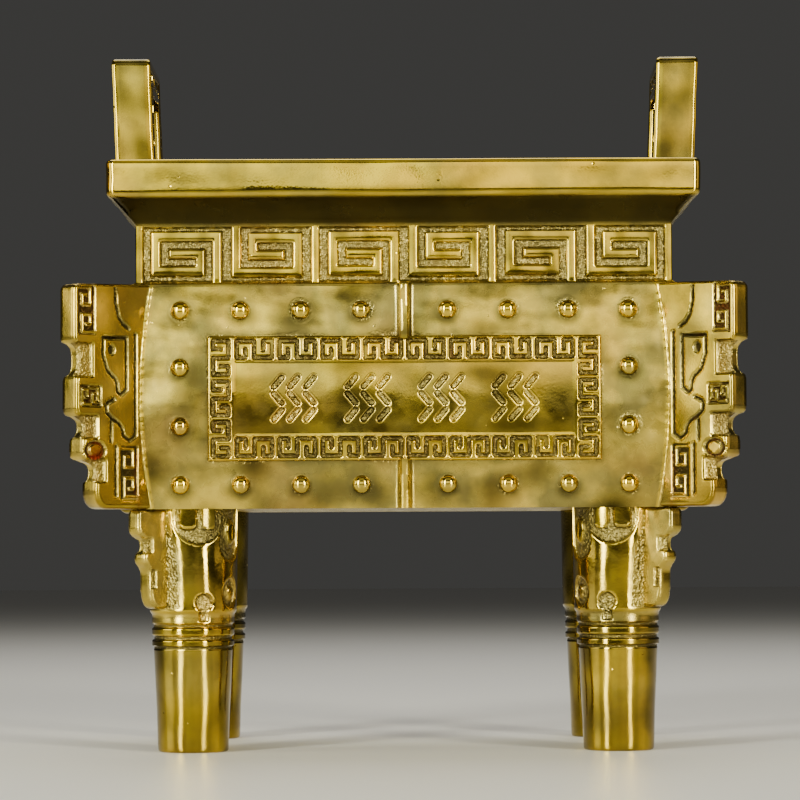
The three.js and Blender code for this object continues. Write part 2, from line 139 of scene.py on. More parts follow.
def colours():
    """The colours that the sidebar holds."""
    return bpy.context.scene.ding_colours


# ------------------------------------------------------------------ modelling by operators


def deselect_all():
    bpy.ops.object.select_all(action="DESELECT")


def make_active(obj):
    deselect_all()
    obj.select_set(True)
    bpy.context.view_layer.objects.active = obj


def select_all():
    """Selects the whole of the mesh that is being edited."""
    bpy.ops.mesh.select_all(action="SELECT")


def edit(obj, *steps):
    """Runs edit-mode operators on an object, with nothing selected at the start."""
    make_active(obj)
    bpy.ops.object.mode_set(mode="EDIT")
    bpy.ops.mesh.select_all(action="DESELECT")
    for step in steps:
        step()
    bpy.ops.object.mode_set(mode="OBJECT")


def points_of(obj):
    """A new array of an object's points, one row each."""
    flat = np.empty(len(obj.data.vertices) * 3)
    obj.data.vertices.foreach_get("co", flat)
    return flat.reshape(-1, 3)


def set_points(obj, points):
    obj.data.vertices.foreach_set("co", np.asarray(points, dtype=float).ravel())
    obj.data.update()


def placed(points, matrix):
    """Points taken through a 4 by 4 matrix."""
    m = np.array(matrix)
    return points @ m[:3, :3].T + m[:3, 3]


def store(obj, name, values):
    """Keeps a value for each point of a mesh, for its material to read."""
    attribute = obj.data.attributes.get(name)
    if attribute is None:
        attribute = obj.data.attributes.new(name, "FLOAT", "POINT")
    attribute.data.foreach_set("value", np.asarray(values, dtype=np.float32))


def turn_outwards(obj):
    """Points every face of a closed mesh outwards."""
    edit(obj, select_all, lambda: bpy.ops.mesh.normals_make_consistent(inside=False))


def join(objects):
    make_active(objects[0])
    for obj in objects[1:]:
        obj.select_set(True)
    bpy.ops.object.join()
    return bpy.context.object


def copied(obj, matrix):
    """A copy with its own mesh, its points taken through a matrix."""
    twin = obj.copy()
    twin.data = obj.data.copy()
    bpy.context.scene.collection.objects.link(twin)
    set_points(twin, placed(points_of(twin), matrix))
    if Matrix(matrix).determinant() < 0:
        edit(twin, select_all, bpy.ops.mesh.flip_normals)
    return twin


def finish_piece(obj, name, material, smooth_below):
    """Names a piece, gives it its metal and smooths its angles below so many degrees."""
    make_active(obj)
    bpy.ops.object.shade_smooth_by_angle(angle=math.radians(smooth_below))
    obj.name = name
    obj.data.name = name
    obj.data.materials.clear()
    obj.data.materials.append(material)
    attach(obj, BODY)


# ------------------------------------------------------------------ relief on grids


def smoothstep(low, high, value):
    """A smooth rise from 0 at low to 1 at high."""
    t = np.clip((value - low) / (high - low), 0.0, 1.0)
    return t * t * (3.0 - 2.0 * t)


def box_distance(x, y, box):
    """Signed distance to a rectangle ((left, right), (low, high)), negative inside."""
    dx = np.maximum(box[0][0] - x, x - box[0][1])
    dy = np.maximum(box[1][0] - y, y - box[1][1])
    outside = np.hypot(np.maximum(dx, 0.0), np.maximum(dy, 0.0))
    return outside + np.minimum(np.maximum(dx, dy), 0.0)


def boxes_distance(x, y, boxes):
    """Signed distance to the nearest of several rectangles."""
    distance = np.full(np.shape(x), FAR)
    for box in boxes:
        distance = np.minimum(distance, box_distance(x, y, box))
    return distance


def sides_of(outline):
    """The straight sides of a closed outline, each as its two ends."""
    return zip(outline, outline[1:] + outline[:1])


def nearest_on_side(x, y, side):
    """The points of one straight side that lie nearest to x and y."""
    (ax, ay), (bx, by) = side
    along = (bx - ax) ** 2 + (by - ay) ** 2
    t = np.clip(((x - ax) * (bx - ax) + (y - ay) * (by - ay)) / along, 0.0, 1.0)
    return ax + t * (bx - ax), ay + t * (by - ay)


def lines_distance(x, y, lines):
    """Distance to the nearest of several lines, each drawn through its points."""
    distance = np.full(np.shape(x), FAR)
    for line in lines:
        for side in zip(line, line[1:]):
            px, py = nearest_on_side(x, y, side)
            distance = np.minimum(distance, np.hypot(x - px, y - py))
    return distance


def wander(x, y, size, seed):
    """A slow, smooth, repeatable unevenness between -1 and 1, as a hand leaves in wax."""
    order = np.random.default_rng(seed)
    total = np.zeros(np.shape(x))
    waves, calm = 7, 1.6
    for _ in range(waves):
        angle, phase = order.uniform(0, 2 * math.pi, 2)
        pitch = size * order.uniform(0.6, 1.6)
        turn = x * math.cos(angle) + y * math.sin(angle)
        total += np.sin(2 * math.pi * turn / pitch + phase)
    return total / waves ** 0.5 / calm


def groove(distance, half_width, soft=0.22):
    """1 inside a line or pocket and 0 outside it, with a soft cast edge between."""
    return 1.0 - smoothstep(half_width - soft, half_width + soft, distance)


def within(distance, soft=0.25):
    """1 inside a shape given by its signed distance and 0 outside it, softly."""
    return groove(distance, 0.0, soft)


def rounding(inside, radius):
    """How far a face falls at a rounded edge, by the distance inside the edge."""
    reach = np.clip(radius - inside, 0.0, radius)
    return radius - np.sqrt(radius ** 2 - reach ** 2)


def even_lines(low, high, step):
    """Places for grid lines, even and at most a step apart."""
    return np.linspace(low, high, max(2, math.ceil((high - low) / step) + 1))


def grid_lines(edges, low, high, soft, step):
    """Places for grid lines: close together at each edge of a relief, wide apart between."""
    near = [edge + soft * k for edge in edges for k in (-1.0, -0.45, 0.0, 0.45, 1.0)]
    kept = [low, *sorted(p for p in near if low + 0.1 < p < high - 0.1), high]
    lines = [low]
    for place in kept[1:]:
        start, count = lines[-1], max(1, math.ceil((place - lines[-1]) / step))
        lines.extend(start + (place - start) * i / count for i in range(1, count + 1))
    return np.array(lines)


def add_grid(columns, rows):
    """A grid of points, its x running fastest, to be put in place by the caller."""
    deselect_all()
    bpy.ops.mesh.primitive_grid_add(
        x_subdivisions=columns - 1, y_subdivisions=rows - 1, size=1.0)
    return bpy.context.object


def relief_slab(xs, ys, shape, back, matrix, stretch=None):
    """A closed slab carved on its front: x across, y up, z out, all in millimetres.

    shape(x, y) gives the height out, the ground value and the patina with painted shade. The
    border goes back by `back`, drawn in at its ends, so that slabs which meet at a corner stay clear.
    stretch(x, y), where it is given, widens the rows of the grid.
    """
    slab = add_grid(len(xs), len(ys))
    x, y = (values.ravel() for values in np.meshgrid(xs, ys))
    if stretch:
        x = stretch(x, y)
    out, ground, patina_and_shade = shape(x, y)
    set_points(slab, np.column_stack([x, y, out]))
    front = len(x)
    edit(slab, select_all, bpy.ops.mesh.region_to_loop,
         bpy.ops.mesh.extrude_region_move, bpy.ops.mesh.edge_face_add)
    points = points_of(slab)
    rim = points[front:]
    half_width = np.abs(x.reshape(len(ys), -1)[:, 0])
    ends = np.abs(rim[:, 0]) > np.interp(rim[:, 1], ys, half_width) - 0.01
    rim[:, 0] -= np.sign(rim[:, 0]) * back * ends
    rim[:, 2] -= back
    set_points(slab, placed(points, matrix))
    store(slab, "ground", np.concatenate([ground, np.ones(len(rim))]))
    store(slab, "patina_and_shade", np.concatenate([patina_and_shade, np.zeros(len(rim))]))
    turn_outwards(slab)
    return slab


def wrapped(turns, levels, shape, matrix):
    """A closed form that goes round: shape(turn, level) gives x, y, z and the ground value."""
    body = add_grid(len(turns), len(levels))
    turn, level = (values.ravel() for values in np.meshgrid(turns, levels))
    x, y, z, ground = shape(turn, level)
    set_points(body, placed(np.column_stack([x, y, z]), matrix))
    store(body, "ground", ground)
    edit(body, select_all,
         lambda: bpy.ops.mesh.remove_doubles(threshold=0.004 * MM),
         lambda: bpy.ops.mesh.fill_holes(sides=0))
    turn_outwards(body)
    return body


def rounded(points, reach, steps=4):
    """An outline with its corners rounded off, `reach` back along each side at most."""
    result = []
    for number, corner in enumerate(points):
        here = np.array(corner, dtype=float)
        ends = []
        for other in (points[number - 1], points[(number + 1) % len(points)]):
            side = np.array(other) - here
            size = np.hypot(*side)
            ends.append(here + side / size * min(reach, 0.45 * size))
        for t in np.linspace(0, 1, steps):
            point = (1 - t) ** 2 * ends[0] + 2 * t * (1 - t) * here + t ** 2 * ends[1]
            result.append((float(point[0]), float(point[1])))
    return result


def inside_outline(x, y, outlines):
    """Which points lie inside the outlines, a hole being an outline inside another."""
    inside = np.zeros(np.shape(x), dtype=bool)
    for outline in outlines:
        for (ax, ay), (bx, by) in sides_of(outline):
            if ay == by:
                continue
            crosses = (ay > y) != (by > y)
            inside ^= crosses & (x < (bx - ax) * (y - ay) / (by - ay) + ax)
    return inside


def nearest_on(x, y, outlines):
    """The nearest point on any of the outlines."""
    best = np.full(len(x), FAR)
    near = np.column_stack([x, y])
    for outline in outlines:
        for side in sides_of(outline):
            px, py = nearest_on_side(x, y, side)
            reach = np.hypot(x - px, y - py)
            closer = reach < best
            best[closer] = reach[closer]
            near[closer] = np.column_stack([px, py])[closer]
    return near


SIDE_GROUND = 0.25  # The ground value of a plate's sides, which are filed, not polished.


def plate(outlines, cell, half, edge, relief, slices):
    """A closed plate cut to its outlines, both faces carved alike, its edges rounded.

    It lies in x and y with its thickness along z, in millimetres, and `half` is half of
    that thickness. relief(x, y) gives how deep the face is cut and the ground value. The
    cell is the size of its faces, the edge its radius and the slices those through it.
    """
    every = np.array([point for outline in outlines for point in outline])
    (left, low), (right, high) = every.min(axis=0), every.max(axis=0)
    xs, ys = even_lines(left, right, cell), even_lines(low, high, cell)
    sheet = add_grid(len(xs), len(ys))
    x, y = (values.ravel() for values in np.meshgrid(xs, ys))
    corners = np.empty(len(sheet.data.polygons) * 4, dtype=np.int32)
    sheet.data.polygons.foreach_get("vertices", corners)
    corners = corners.reshape(-1, 4)
    keep = inside_outline(x[corners].mean(axis=1), y[corners].mean(axis=1), outlines)
    sides = np.sort(np.concatenate(
        [corners[keep][:, [i, (i + 1) % 4]] for i in range(4)]), axis=1)
    pairs, count = np.unique(sides, axis=0, return_counts=True)
    border = np.unique(pairs[count == 1])
    x[border], y[border] = nearest_on(x[border], y[border], outlines).T
    for px, py in every:
        reach = np.hypot(x[border] - px, y[border] - py)
        nearest = border[np.argmin(reach)]
        if reach.min() < cell * 1.2:
            x[nearest], y[nearest] = px, py
    set_points(sheet, np.column_stack([x, y, np.full(len(x), -half)]))
    sheet.data.polygons.foreach_set("select", ~keep)
    make_active(sheet)
    bpy.context.tool_settings.mesh_select_mode = (False, False, True)
    bpy.ops.object.mode_set(mode="EDIT")
    bpy.ops.mesh.delete(type="FACE")
    bpy.context.tool_settings.mesh_select_mode = (True, False, False)
    select_all()
    for _ in range(slices):
        bpy.ops.mesh.extrude_region_move(
            TRANSFORM_OT_translate={"value": (0, 0, 2 * half / slices)})
    bpy.ops.object.mode_set(mode="OBJECT")
    turn_outwards(sheet)
    points = points_of(sheet)
    x, y = points[:, 0], points[:, 1]
    near = nearest_on(x, y, outlines)
    depth, ground = relief(x, y)
    fall = rounding(np.hypot(*(near - points[:, :2]).T), edge)
    across = points[:, 2] / half
    points[:, 2] = across * (half - depth - fall)
    set_points(sheet, points)
    face = np.abs(across) > 0.99
    store(sheet, "ground", np.where(face, ground, SIDE_GROUND))
    return sheet


def wall_matrix(turn, distance):
    """Takes x across, y up and z out of a wall, in millimetres, into the vessel's frame."""
    upright = Matrix(((1, 0, 0, 0), (0, 0, -1, -distance), (0, 1, 0, 0), (0, 0, 0, 1)))
    return Matrix.Scale(MM, 4) @ Matrix.Rotation(turn * math.pi / 2, 4, "Z") @ upright


def in_mm(name):
    """A size from the sidebar, in millimetres."""
    return getattr(sizes(), name) / MM


def wall_size(part, long_side):
    """Half the width of a wall of the body or the neck, and its distance from the middle."""
    half_x, half_y = in_mm(part + "_half_x"), in_mm(part + "_half_y")
    return (half_x, half_y) if long_side else (half_y, half_x)


def bulge_at(z):
    """How far a wall of the body swells out at a height."""
    low, high = in_mm("leg_height"), in_mm("body_top")
    t = np.clip((z - low) / (high - low), 0.0, 1.0)
    return in_mm("bulge") * 4 * t * (1 - t)


def corner_matrix(corner, x, y):
    """Takes x outwards along a corner's diagonal, y up and z across, in millimetres."""
    sx, sy = corner
    half = math.sqrt(0.5)
    return Matrix.Scale(MM, 4) @ Matrix((
        (sx * half, 0, -sx * half, sx * x),
        (sy * half, 0, sy * half, sy * y),
        (0, 1, 0, 0),
        (0, 0, 0, 1)))


CORNERS = {"front_left": (-1, -1), "front_right": (1, -1), "back_right": (1, 1), "back_left": (-1, 1)}
# Each wall's name, its quarter turns from the front and whether it is a long one.
WALLS = (("front", 0, True), ("right", 1, False), ("back", 2, True), ("left", 3, False))


# ------------------------------------------------------------------ vessel


# The thickness of the casting's walls and floor, and how far the walls swell inside.
SHELL, FLOOR, INNER_BULGE = 5.0, 4.5, 3.0
BEND = 0.04  # The share of a side's turn that goes into each of its rounded corners.


def loop_points(half_x, half_y, radius, turn):
    """Points round a rectangle with rounded corners, `turn` running from 0 to 4 sides."""
    side = np.floor(turn).astype(int) % 4
    t = turn - np.floor(turn)
    long_half = np.where(side % 2 == 0, half_x, half_y)
    wide_half = np.where(side % 2 == 0, half_y, half_x)
    straight = np.clip((t - BEND) / (1 - 2 * BEND), 0.0, 1.0)
    bend = np.minimum(t / BEND - 1, 0.0) + np.maximum((t - 1) / BEND + 1, 0.0)
    angle = bend * math.pi / 4
    along = (2 * straight - 1) * (long_half - radius) + radius * np.sin(angle)
    out = wide_half - radius * (1 - np.cos(angle))
    return np.choose(side, (along, out, -along, -out)), np.choose(side, (-out, along, out, -along))


def vessel_profile():
    """The wall's outline from the underside, up the outside, over the rim and down inside.

    Each entry is how far out from the body's half size, the height and the ground value.
    Where dressed walls and the fret cover it, the outline lies behind them.
    """
    foot, body, neck, lip, top = (
        in_mm(name) for name in ("leg_height", "body_top", "neck_top", "rim_bottom", "rim_top"))
    rim = in_mm("rim_half_x") - in_mm("body_half_x")
    behind_wall, behind_fret, below_flare = -2.0, -2.4, -0.55
    rows = [(behind_wall - 0.2, foot + 0.06, 0.7), (behind_wall, foot + 0.4, 0.7)]
    rows += [(behind_wall, z, 0.7) for z in (90, 110, body - 0.6)]
    rows += [(behind_fret, body + 0.3, 0.7), (behind_fret, neck - 0.4, 0.7)]
    rows += [(below_flare - 0.2, neck - 0.2, 0.35), (below_flare, neck + 0.1, 0.3)]
    for t in np.linspace(0.1, 1.0, 8):
        out = below_flare + (rim - 1.3 - below_flare) * t ** 1.18
        rows.append((out, neck + 0.1 + (lip - neck - 0.1) * t, 0.44))
    rows += [(rim - 0.7, lip + 0.35, 0.1), (rim - 0.25, lip + 0.9, 0.05), (rim - 0.06, lip + 1.6, 0.0)]
    rows += [(rim, z, 0.0) for z in np.linspace(lip + 2.4, top - 1.3, 7)]
    rows += [(rim - 0.12, top - 0.6, 0.0), (rim - 0.45, top - 0.16, 0.0), (rim - 0.95, top, 0.0)]
    rows += [(out, top, 0.05) for out in np.linspace(rim - 3, 1.4 - SHELL, 5)]
    rows += [(0.4 - SHELL, top - 0.25, 0.15), (-SHELL, top - 1.0, 0.25)]
    rows += [(-SHELL, z, 0.6) for z in (160, 150, 140, body)]
    floor = foot + FLOOR
    for t in np.linspace(0.9, 0.05, 12):
        out = -SHELL - 0.4 * (1 - t) + INNER_BULGE * 4 * t * (1 - t)
        rows.append((out, floor + (body - floor) * t, 0.7))
    rows += [(-0.6 - SHELL, floor + 1.1, 0.8), (-1.4 - SHELL, floor + 0.4, 0.8)]
    rows += [(-3.0 - SHELL, floor + 0.1, 0.74)]
    return np.array(rows)


def vessel_patina_and_shade(points, half_x, half_y):
    """Painted shade under the rim, deepest front and back, and the wear on the rim's own face, darker
    towards its lower edge.
    """
    x, y, z = points.T
    beyond_x, beyond_y = np.abs(x) - half_x, np.abs(y) - half_y
    outside = np.maximum(beyond_x, beyond_y) > -SHELL / 2
    lip, top = in_mm("rim_bottom") + 0.5, in_mm("rim_top") - 0.2
    under_rim = outside * smoothstep(147, 149, z) * (1 - smoothstep(155.2, 156.4, z))
    face = outside * smoothstep(lip, lip + 0.4, z) * (z < top)
    darkening = 0.42 * wander(x + y, z * 2.2, 24, 9)
    darker_at_lip = 0.4 * np.exp(-np.maximum(z - lip, 0) / 0.7)
    # Painted shade on the flare under the overhanging rim, heavier front and back than at the ends.
    shade_under_rim = (0.97 - 0.45 * (beyond_x > beyond_y)) * under_rim
    return np.maximum(shade_under_rim, face * np.clip(darkening + darker_at_lip, 0, 0.6))


def make_vessel(material):
    rows = vessel_profile()
    side = np.concatenate([np.linspace(0, BEND, 5)[:-1], np.linspace(BEND, 1 - BEND, 61),
                           np.linspace(1 - BEND, 1.0, 5)[1:-1]])
    turns = np.concatenate([side + k for k in range(4)] + [[4.0]])
    half_x, half_y = in_mm("body_half_x"), in_mm("body_half_y")
    rim_shorter = (in_mm("rim_half_x") - half_x) - (in_mm("rim_half_y") - half_y)

    def shape(turn, level):
        out, z, ground = rows[np.rint(level).astype(int)].T
        round_it = turn * 60
        swell = 0.22 * wander(round_it, z * 1.5, 26, 3) * (z > in_mm("neck_top") + 1)
        radius = np.where(out > 2, 2.3, np.where(out < -4, 1.4, 0.9))
        shorter = rim_shorter * (out > 2)
        x, y = loop_points(half_x + out + swell, half_y + out + swell - shorter, radius, turn)
        edge = (z > in_mm("rim_bottom") - 1) & (out > 2)
        z = np.where(edge & (z < 162), z + 0.25 * wander(round_it, 0 * z, 34, 5), z)
        z = np.where(edge & (z > 164), z + 0.16 * wander(round_it, 0 * z, 40, 6), z)
        return x, y, z, ground

    body = wrapped(turns, np.arange(len(rows), dtype=float), shape, Matrix.Scale(MM, 4))
    store(body, "patina_and_shade", vessel_patina_and_shade(points_of(body) / MM, half_x, half_y))
    finish_piece(body, "vessel_and_rim", material, 38)
    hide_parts(NODE)


# ------------------------------------------------------------------ fret of the neck

FRET = {"low": 132.4, "high": 147.6, "depth": 1.2, "bar": 2.8, "unit": 20.0, "gap": 2.6,
        "pitch": 49.8, "divider": 2.4, "post": 2.2, "bar_levels": (134.0, 138.8, 143.6)}


def fret_hook(left, half_turn):
    """The bars of one square hook, as ((left, right), (low, high)) rectangles."""
    bar, right = FRET["bar"], left + FRET["unit"]
    low, middle, high = FRET["bar_levels"]
    inner = right - bar - 1.9
    bars = [
        ((right - bar, right), (FRET["low"] - 0.5, high + bar)),
        ((left, right), (high, high + bar)),
        ((left, left + bar), (low, high + bar)),
        ((left, inner), (low, low + bar)),
        ((inner - bar, inner), (low, middle + bar)),
        ((left + bar + 2.2, inner), (middle, middle + bar)),
    ]
    if not half_turn:
        return bars
    across, up = left + right, FRET["low"] + FRET["high"]
    return [((across - x[1], across - x[0]), (up - z[1], up - z[0])) for x, z in bars]


def fret_bars(long_side, half):
    """All that stands up on one side: pairs of hooks, dividers, end posts and two edges."""
    pairs, dividers = ((-1, 0, 1), (-0.5, 0.5)) if long_side else ((-0.5, 0.5), (0,))
    across, up = (-half - 1, half + 1), (131, 149)
    bars = []
    for step in pairs:
        centre = step * FRET["pitch"]
        bars += fret_hook(centre - FRET["gap"] / 2 - FRET["unit"], False)
        bars += fret_hook(centre + FRET["gap"] / 2, True)
    for step in dividers:
        centre = step * FRET["pitch"]
        bars.append(((centre - FRET["divider"] / 2, centre + FRET["divider"] / 2), up))
    bars += [((across[0], FRET["post"] - half), up), ((half - FRET["post"], across[1]), up)]
    return bars + [(across, (up[0], FRET["low"])), (across, (FRET["high"], up[1]))]


def make_neck_fret(material):
    slabs = []
    for _, turn, long_side in WALLS:
        half, distance = wall_size("neck", long_side)
        bars = fret_bars(long_side, half)

        def shape(x, z, bars=bars, half=half, seed=40 + turn):
            reach = boxes_distance(x, z, bars)
            sunk = smoothstep(-0.3, 0.25, reach)
            hand = 0.05 * wander(x, z, 14, seed)
            shoulder = 0.14 * np.exp(np.minimum(reach, 0.0) / 0.7)
            out = hand - FRET["depth"] * sunk - shoulder - rounding(half - np.abs(x), 0.4)
            darkening = np.clip(0.12 + 0.5 * wander(x * 1.4, z, 9, seed + 4), 0, 0.65)
            return out, np.clip(sunk * 0.8 + 0.04, 0, 1), darkening * (1 - sunk)

        xs = even_lines(0.3 - half, half - 0.3, step=0.4)
        zs = even_lines(132.0, 148.0, step=0.39)
        slabs.append(relief_slab(xs, zs, shape, back=2.6, matrix=wall_matrix(turn, distance)))
    finish_piece(join(slabs), "neck_fret", material, 60)


# ------------------------------------------------------------------ walls and bosses

BOSS = {"radius": 2.675, "height": 2.2, "pitch": 16.9, "rows": (75.2, 91.5, 107.9, 124.0)}
BEAD = {"from_corner": 5.45, "width": 0.45, "pitch": 2.4}
PANEL_BOX, PANEL_PROUD = ((-55.0, 55.0), (81.8, 116.7)), 1.2


def boss_places(long_side):
    """Where the bosses stand on a wall, in a frame round its edge."""
    columns = [12.1 + BOSS["pitch"] * i for i in range(4)] if long_side else [16.9, 33.8]
    columns = [-c for c in columns] + ([] if long_side else [0.0]) + columns
    outer = max(columns)
    bottom, lower, upper, top = BOSS["rows"]
    places = [(x, z) for x in columns for z in (bottom, top)]
    return places + [(x, z) for x in (-outer, outer) for z in (lower, upper)]


def gathered(distance, spread):
    """1 against an edge, fading away from it, as dirt and painted shade do."""
    return np.exp(-(np.maximum(distance, 0) / spread) ** 2)


def make_walls(material):
    for name, turn, long_side in WALLS:
        half, distance = wall_size("body", long_side)
        bosses = boss_places(long_side)

        def stretch(x, z, half=half):
            return x * (1 + bulge_at(z) / half)

        def shape(x, z, half=half, long_side=long_side, bosses=bosses, seed=60 + turn):
            side = half + bulge_at(z)
            hand = 0.26 * wander(x, z, 22, seed) + 0.06 * wander(x, z, 7, seed + 9)
            out = bulge_at(z) + hand
            ground = 0.33 + 0.1 * wander(x, z, 30, seed + 3)
            # Painted shade: the wall darker towards its bottom.
            painted_shade_low = 0.24 * (1 - smoothstep(70, 92, z))
            patina_and_shade = painted_shade_low + 0.7 * wander(x, z * 1.4, 26, seed + 5)
            if long_side:
                low, high = PANEL_BOX[1]
                beyond = (z > high - 1) | (z < low + 1)
                rib = 1.0 - smoothstep(0.9, 2.1, np.abs(x))
                out = out + 2.9 * rib * beyond
                ground = np.where(beyond & (rib > 0.5), 0.12, ground)
                off_panel = np.maximum(box_distance(x, z, PANEL_BOX), 0)
                patina_and_shade = np.maximum(patina_and_shade, 0.5 * np.exp(-off_panel / 1.5))
                ground = ground + 0.22 * np.exp(-off_panel / 1.4) * (off_panel > 0)
            for bx, bz in bosses:
                reach = np.hypot(x - bx, z - bz)
                # A dark halo round each boss: dirt at its foot, with a painted shadow that is stronger and
                # wider below it.
                below = np.clip(bz - z, -2, 2) / 2
                smudge_and_shadow = (0.56 + 0.24 * below) * gathered(reach - 2.4, 1.5 + 0.6 * below)
                patina_and_shade = np.maximum(patina_and_shade, smudge_and_shadow)
                ground = ground + 0.24 * gathered(reach - 2.2, 1.5)
            bead = np.exp(-((side - BEAD["from_corner"] - np.abs(x)) / BEAD["width"]) ** 2)
            out = out + bead * (0.2 + 0.1 * np.sin(2 * math.pi * z / BEAD["pitch"]))
            ground = np.where(bead > 0.3, 0.03, ground)
            out = out - rounding(side - np.abs(x), 0.4) - rounding(in_mm("body_top") - z, 0.5)
            return out, np.clip(ground, 0, 1), np.clip(patina_and_shade * (1 - bead), 0, 1)

        beads, end = half - 5.4, half - 0.3
        across = grid_lines((-beads, -1.5, 1.5, beads), low=-end, high=end, soft=0.7, step=0.85)
        up = even_lines(in_mm("leg_height"), in_mm("body_top"), step=0.6)
        wall = relief_slab(across, up, shape, back=2.4, matrix=wall_matrix(turn, distance),
                           stretch=stretch)
        finish_piece(wall, "wall_" + name, material, 50)


def make_bosses(material):
    deselect_all()
    bpy.ops.mesh.primitive_uv_sphere_add(segments=20, ring_count=12, radius=1.0)
    dome = bpy.context.object
    points = points_of(dome)
    points[:, :2] *= BOSS["radius"]
    points[:, 2] = np.where(points[:, 2] > 0, points[:, 2] * BOSS["height"], points[:, 2] * 0.9)
    set_points(dome, points)
    foot = 1 - smoothstep(0.12, 0.4, points[:, 2] / BOSS["height"])
    store(dome, "ground", 0.04 + 0.5 * foot)
    store(dome, "patina_and_shade", 0.6 * foot)
    domes = []
    for _, turn, long_side in WALLS:
        wall = wall_matrix(turn, wall_size("body", long_side)[1])
        for x, z in boss_places(long_side):
            domes.append(copied(dome, wall @ Matrix.Translation((x, z, float(bulge_at(z)) - 0.1))))
    bpy.data.objects.remove(dome)
    finish_piece(join(domes), "bosses", material, 60)


# ------------------------------------------------------------------ panels

KEY = {"width": 10.8, "height": 5.8, "channel": 1.06, "pitch": 12.0, "top": 113.0, "bottom": 85.6}
SIDE_KEY = {"pitch": 11.4, "out": 51.3, "middle": 99.25, "height": 0.96, "width": 0.9}
FIELD_BOX = ((-47.6, 47.6), (88.9, 109.7))
STROKE = {"group_pitch": 20.6, "column": 4.47, "row": 4.53, "lean": 1.1, "rise": 1.3}


def key_line():
    """The channel of one key of the border, from its middle, x across and y up."""
    path = [(2.94, 2.86), (2.94, 5.26), (0.53, 5.26), (0.53, 0.53), (5.4, 0.53), (5.4, 5.26),
            (10.36, 5.26), (10.36, 0.53), (7.98, 0.53), (7.98, 2.94)]
    return [(x - KEY["width"] / 2, KEY["height"] / 2 - y) for x, y in path]


def border_lines():
    """The channels of the border of keys that runs round a panel."""
    key, lines = key_line(), []
    for number in range(8):
        shift = (number - 3.5) * KEY["pitch"]
        for level, flip in ((KEY["top"], 1), (KEY["bottom"], -1)):
            lines.append([(px + shift, level + flip * py) for px, py in key])
    for number in (-1, 0, 1):
        level = SIDE_KEY["middle"] + number * SIDE_KEY["pitch"]
        for side in (-1, 1):
            lines.append([(side * (SIDE_KEY["out"] + py * SIDE_KEY["width"]),
                           level + px * SIDE_KEY["height"]) for px, py in key])
    return lines


def stroke_lines():
    """Four square clusters of short slanting strokes, which spell nothing."""
    lines, middle, lean, rise = [], sum(PANEL_BOX[1]) / 2, STROKE["lean"], STROKE["rise"]
    for place in (-1.5, -0.5, 0.5, 1.5):
        for row, slant in ((-1, 1), (0, -1), (1, 1)):
            for column in (-1, 0, 1):
                px = place * STROKE["group_pitch"] + column * STROKE["column"]
                pz = middle + row * STROKE["row"]
                lines.append([(px - slant * lean, pz - rise), (px + slant * lean, pz + rise)])
    return lines


def make_panels(material):
    for name, turn, cell in (("front", 0, 0.27), ("back", 2, 0.45)):
        front = name == "front"

        def shape(x, z, front=front, seed=80 + turn):
            out = bulge_at(z) + PANEL_PROUD - rounding(-box_distance(x, z, PANEL_BOX), 0.55)
            out = out + 0.06 * wander(x, z, 20, seed) - 0.06
            channel = lines_distance(x, z, border_lines())
            sunk = 1.0 - smoothstep(-0.7, 0.5, box_distance(x, z, FIELD_BOX))
            cut = 0.9 * groove(channel, KEY["channel"] / 2) + 0.16 * sunk
            ground = np.maximum(0.92 * groove(channel, KEY["channel"] / 2 + 0.04), 0.14 * sunk)
            if front:
                marks = groove(lines_distance(x, z, stroke_lines()), 0.75, 0.3)
                cut, ground = cut + 0.6 * marks, np.maximum(ground, 0.7 * marks)
            darkening = np.clip(0.2 + 0.6 * wander(x * 0.8, z * 1.6, 21, seed + 7), 0, 0.75)
            return out - cut, np.clip(ground, 0, 1), darkening * sunk

        xs, zs = (even_lines(low, high, cell) for low, high in PANEL_BOX)
        matrix = wall_matrix(turn, in_mm("body_half_y"))
        panel = relief_slab(xs, zs, shape, back=2.8, matrix=matrix)
        finish_piece(panel, "panel_" + name, material, 60)


# ------------------------------------------------------------------ corner flanges

# Each tooth from the top: its lowest and highest points and its reach. Between two teeth
# the edge goes back to the first place of a notch, with a pocket from the second.
TEETH = ((114.2, 131.6, 23.6), (94.2, 105.1, 22.8), (82.1, 88.1, 20.5), (68.5, 76.0, 15.9))
NOTCHES = ((21.1, 17.1), (19.2, 15.5), (15.2, 12.6))
TOP_SLOPE = 1.0
FLANGE_STRETCH = (1.02, 1.0, 1.0)
FLANGE_LINES = (
    # A crest, the long neck that hooks outwards at its foot, two short quills and the head.
    [(9.3, 129.7), (9.15, 125.8), (8.2, 122.2), (6.7, 120.1), (4.5, 118.8)],
    [(2.1, 117.2), (2.1, 89), (4.3, 87.6), (6.5, 89), (6.8, 90.9), (8.1, 92.3), (10.8, 93.8),
     (12.4, 95.2), (12.6, 96.8), (11.9, 98), (9.7, 98.9)],
    [(10.8, 92.7), (10.8, 87.2)],
    [(9, 72.3), (9, 85.8)],
    [(5.3, 116.2), (13.6, 116), (13.7, 111.2), (11.9, 106.6), (9.4, 104.7), (8.6, 103.1),
     (8.5, 101.1), (7.2, 100.3), (5.3, 101.8), (5.3, 116.2)],
)
SPIRAL = ((1.05, 0.1), (0.25, 0.1), (0.25, 0.8), (0.75, 0.8), (0.75, 0.4), (0.5, 0.4))
# Blocks of two spirals each, and whether one stands on the other.
SPIRAL_BLOCKS = (
    (((16.4, 22.2), (116.7, 130.4)), True),
    (((14.2, 21.6), (96.9, 102.6)), False),
    (((1.2, 7.2), (71.1, 86.0)), True),
)
STAIN = (15.9, 84.4)


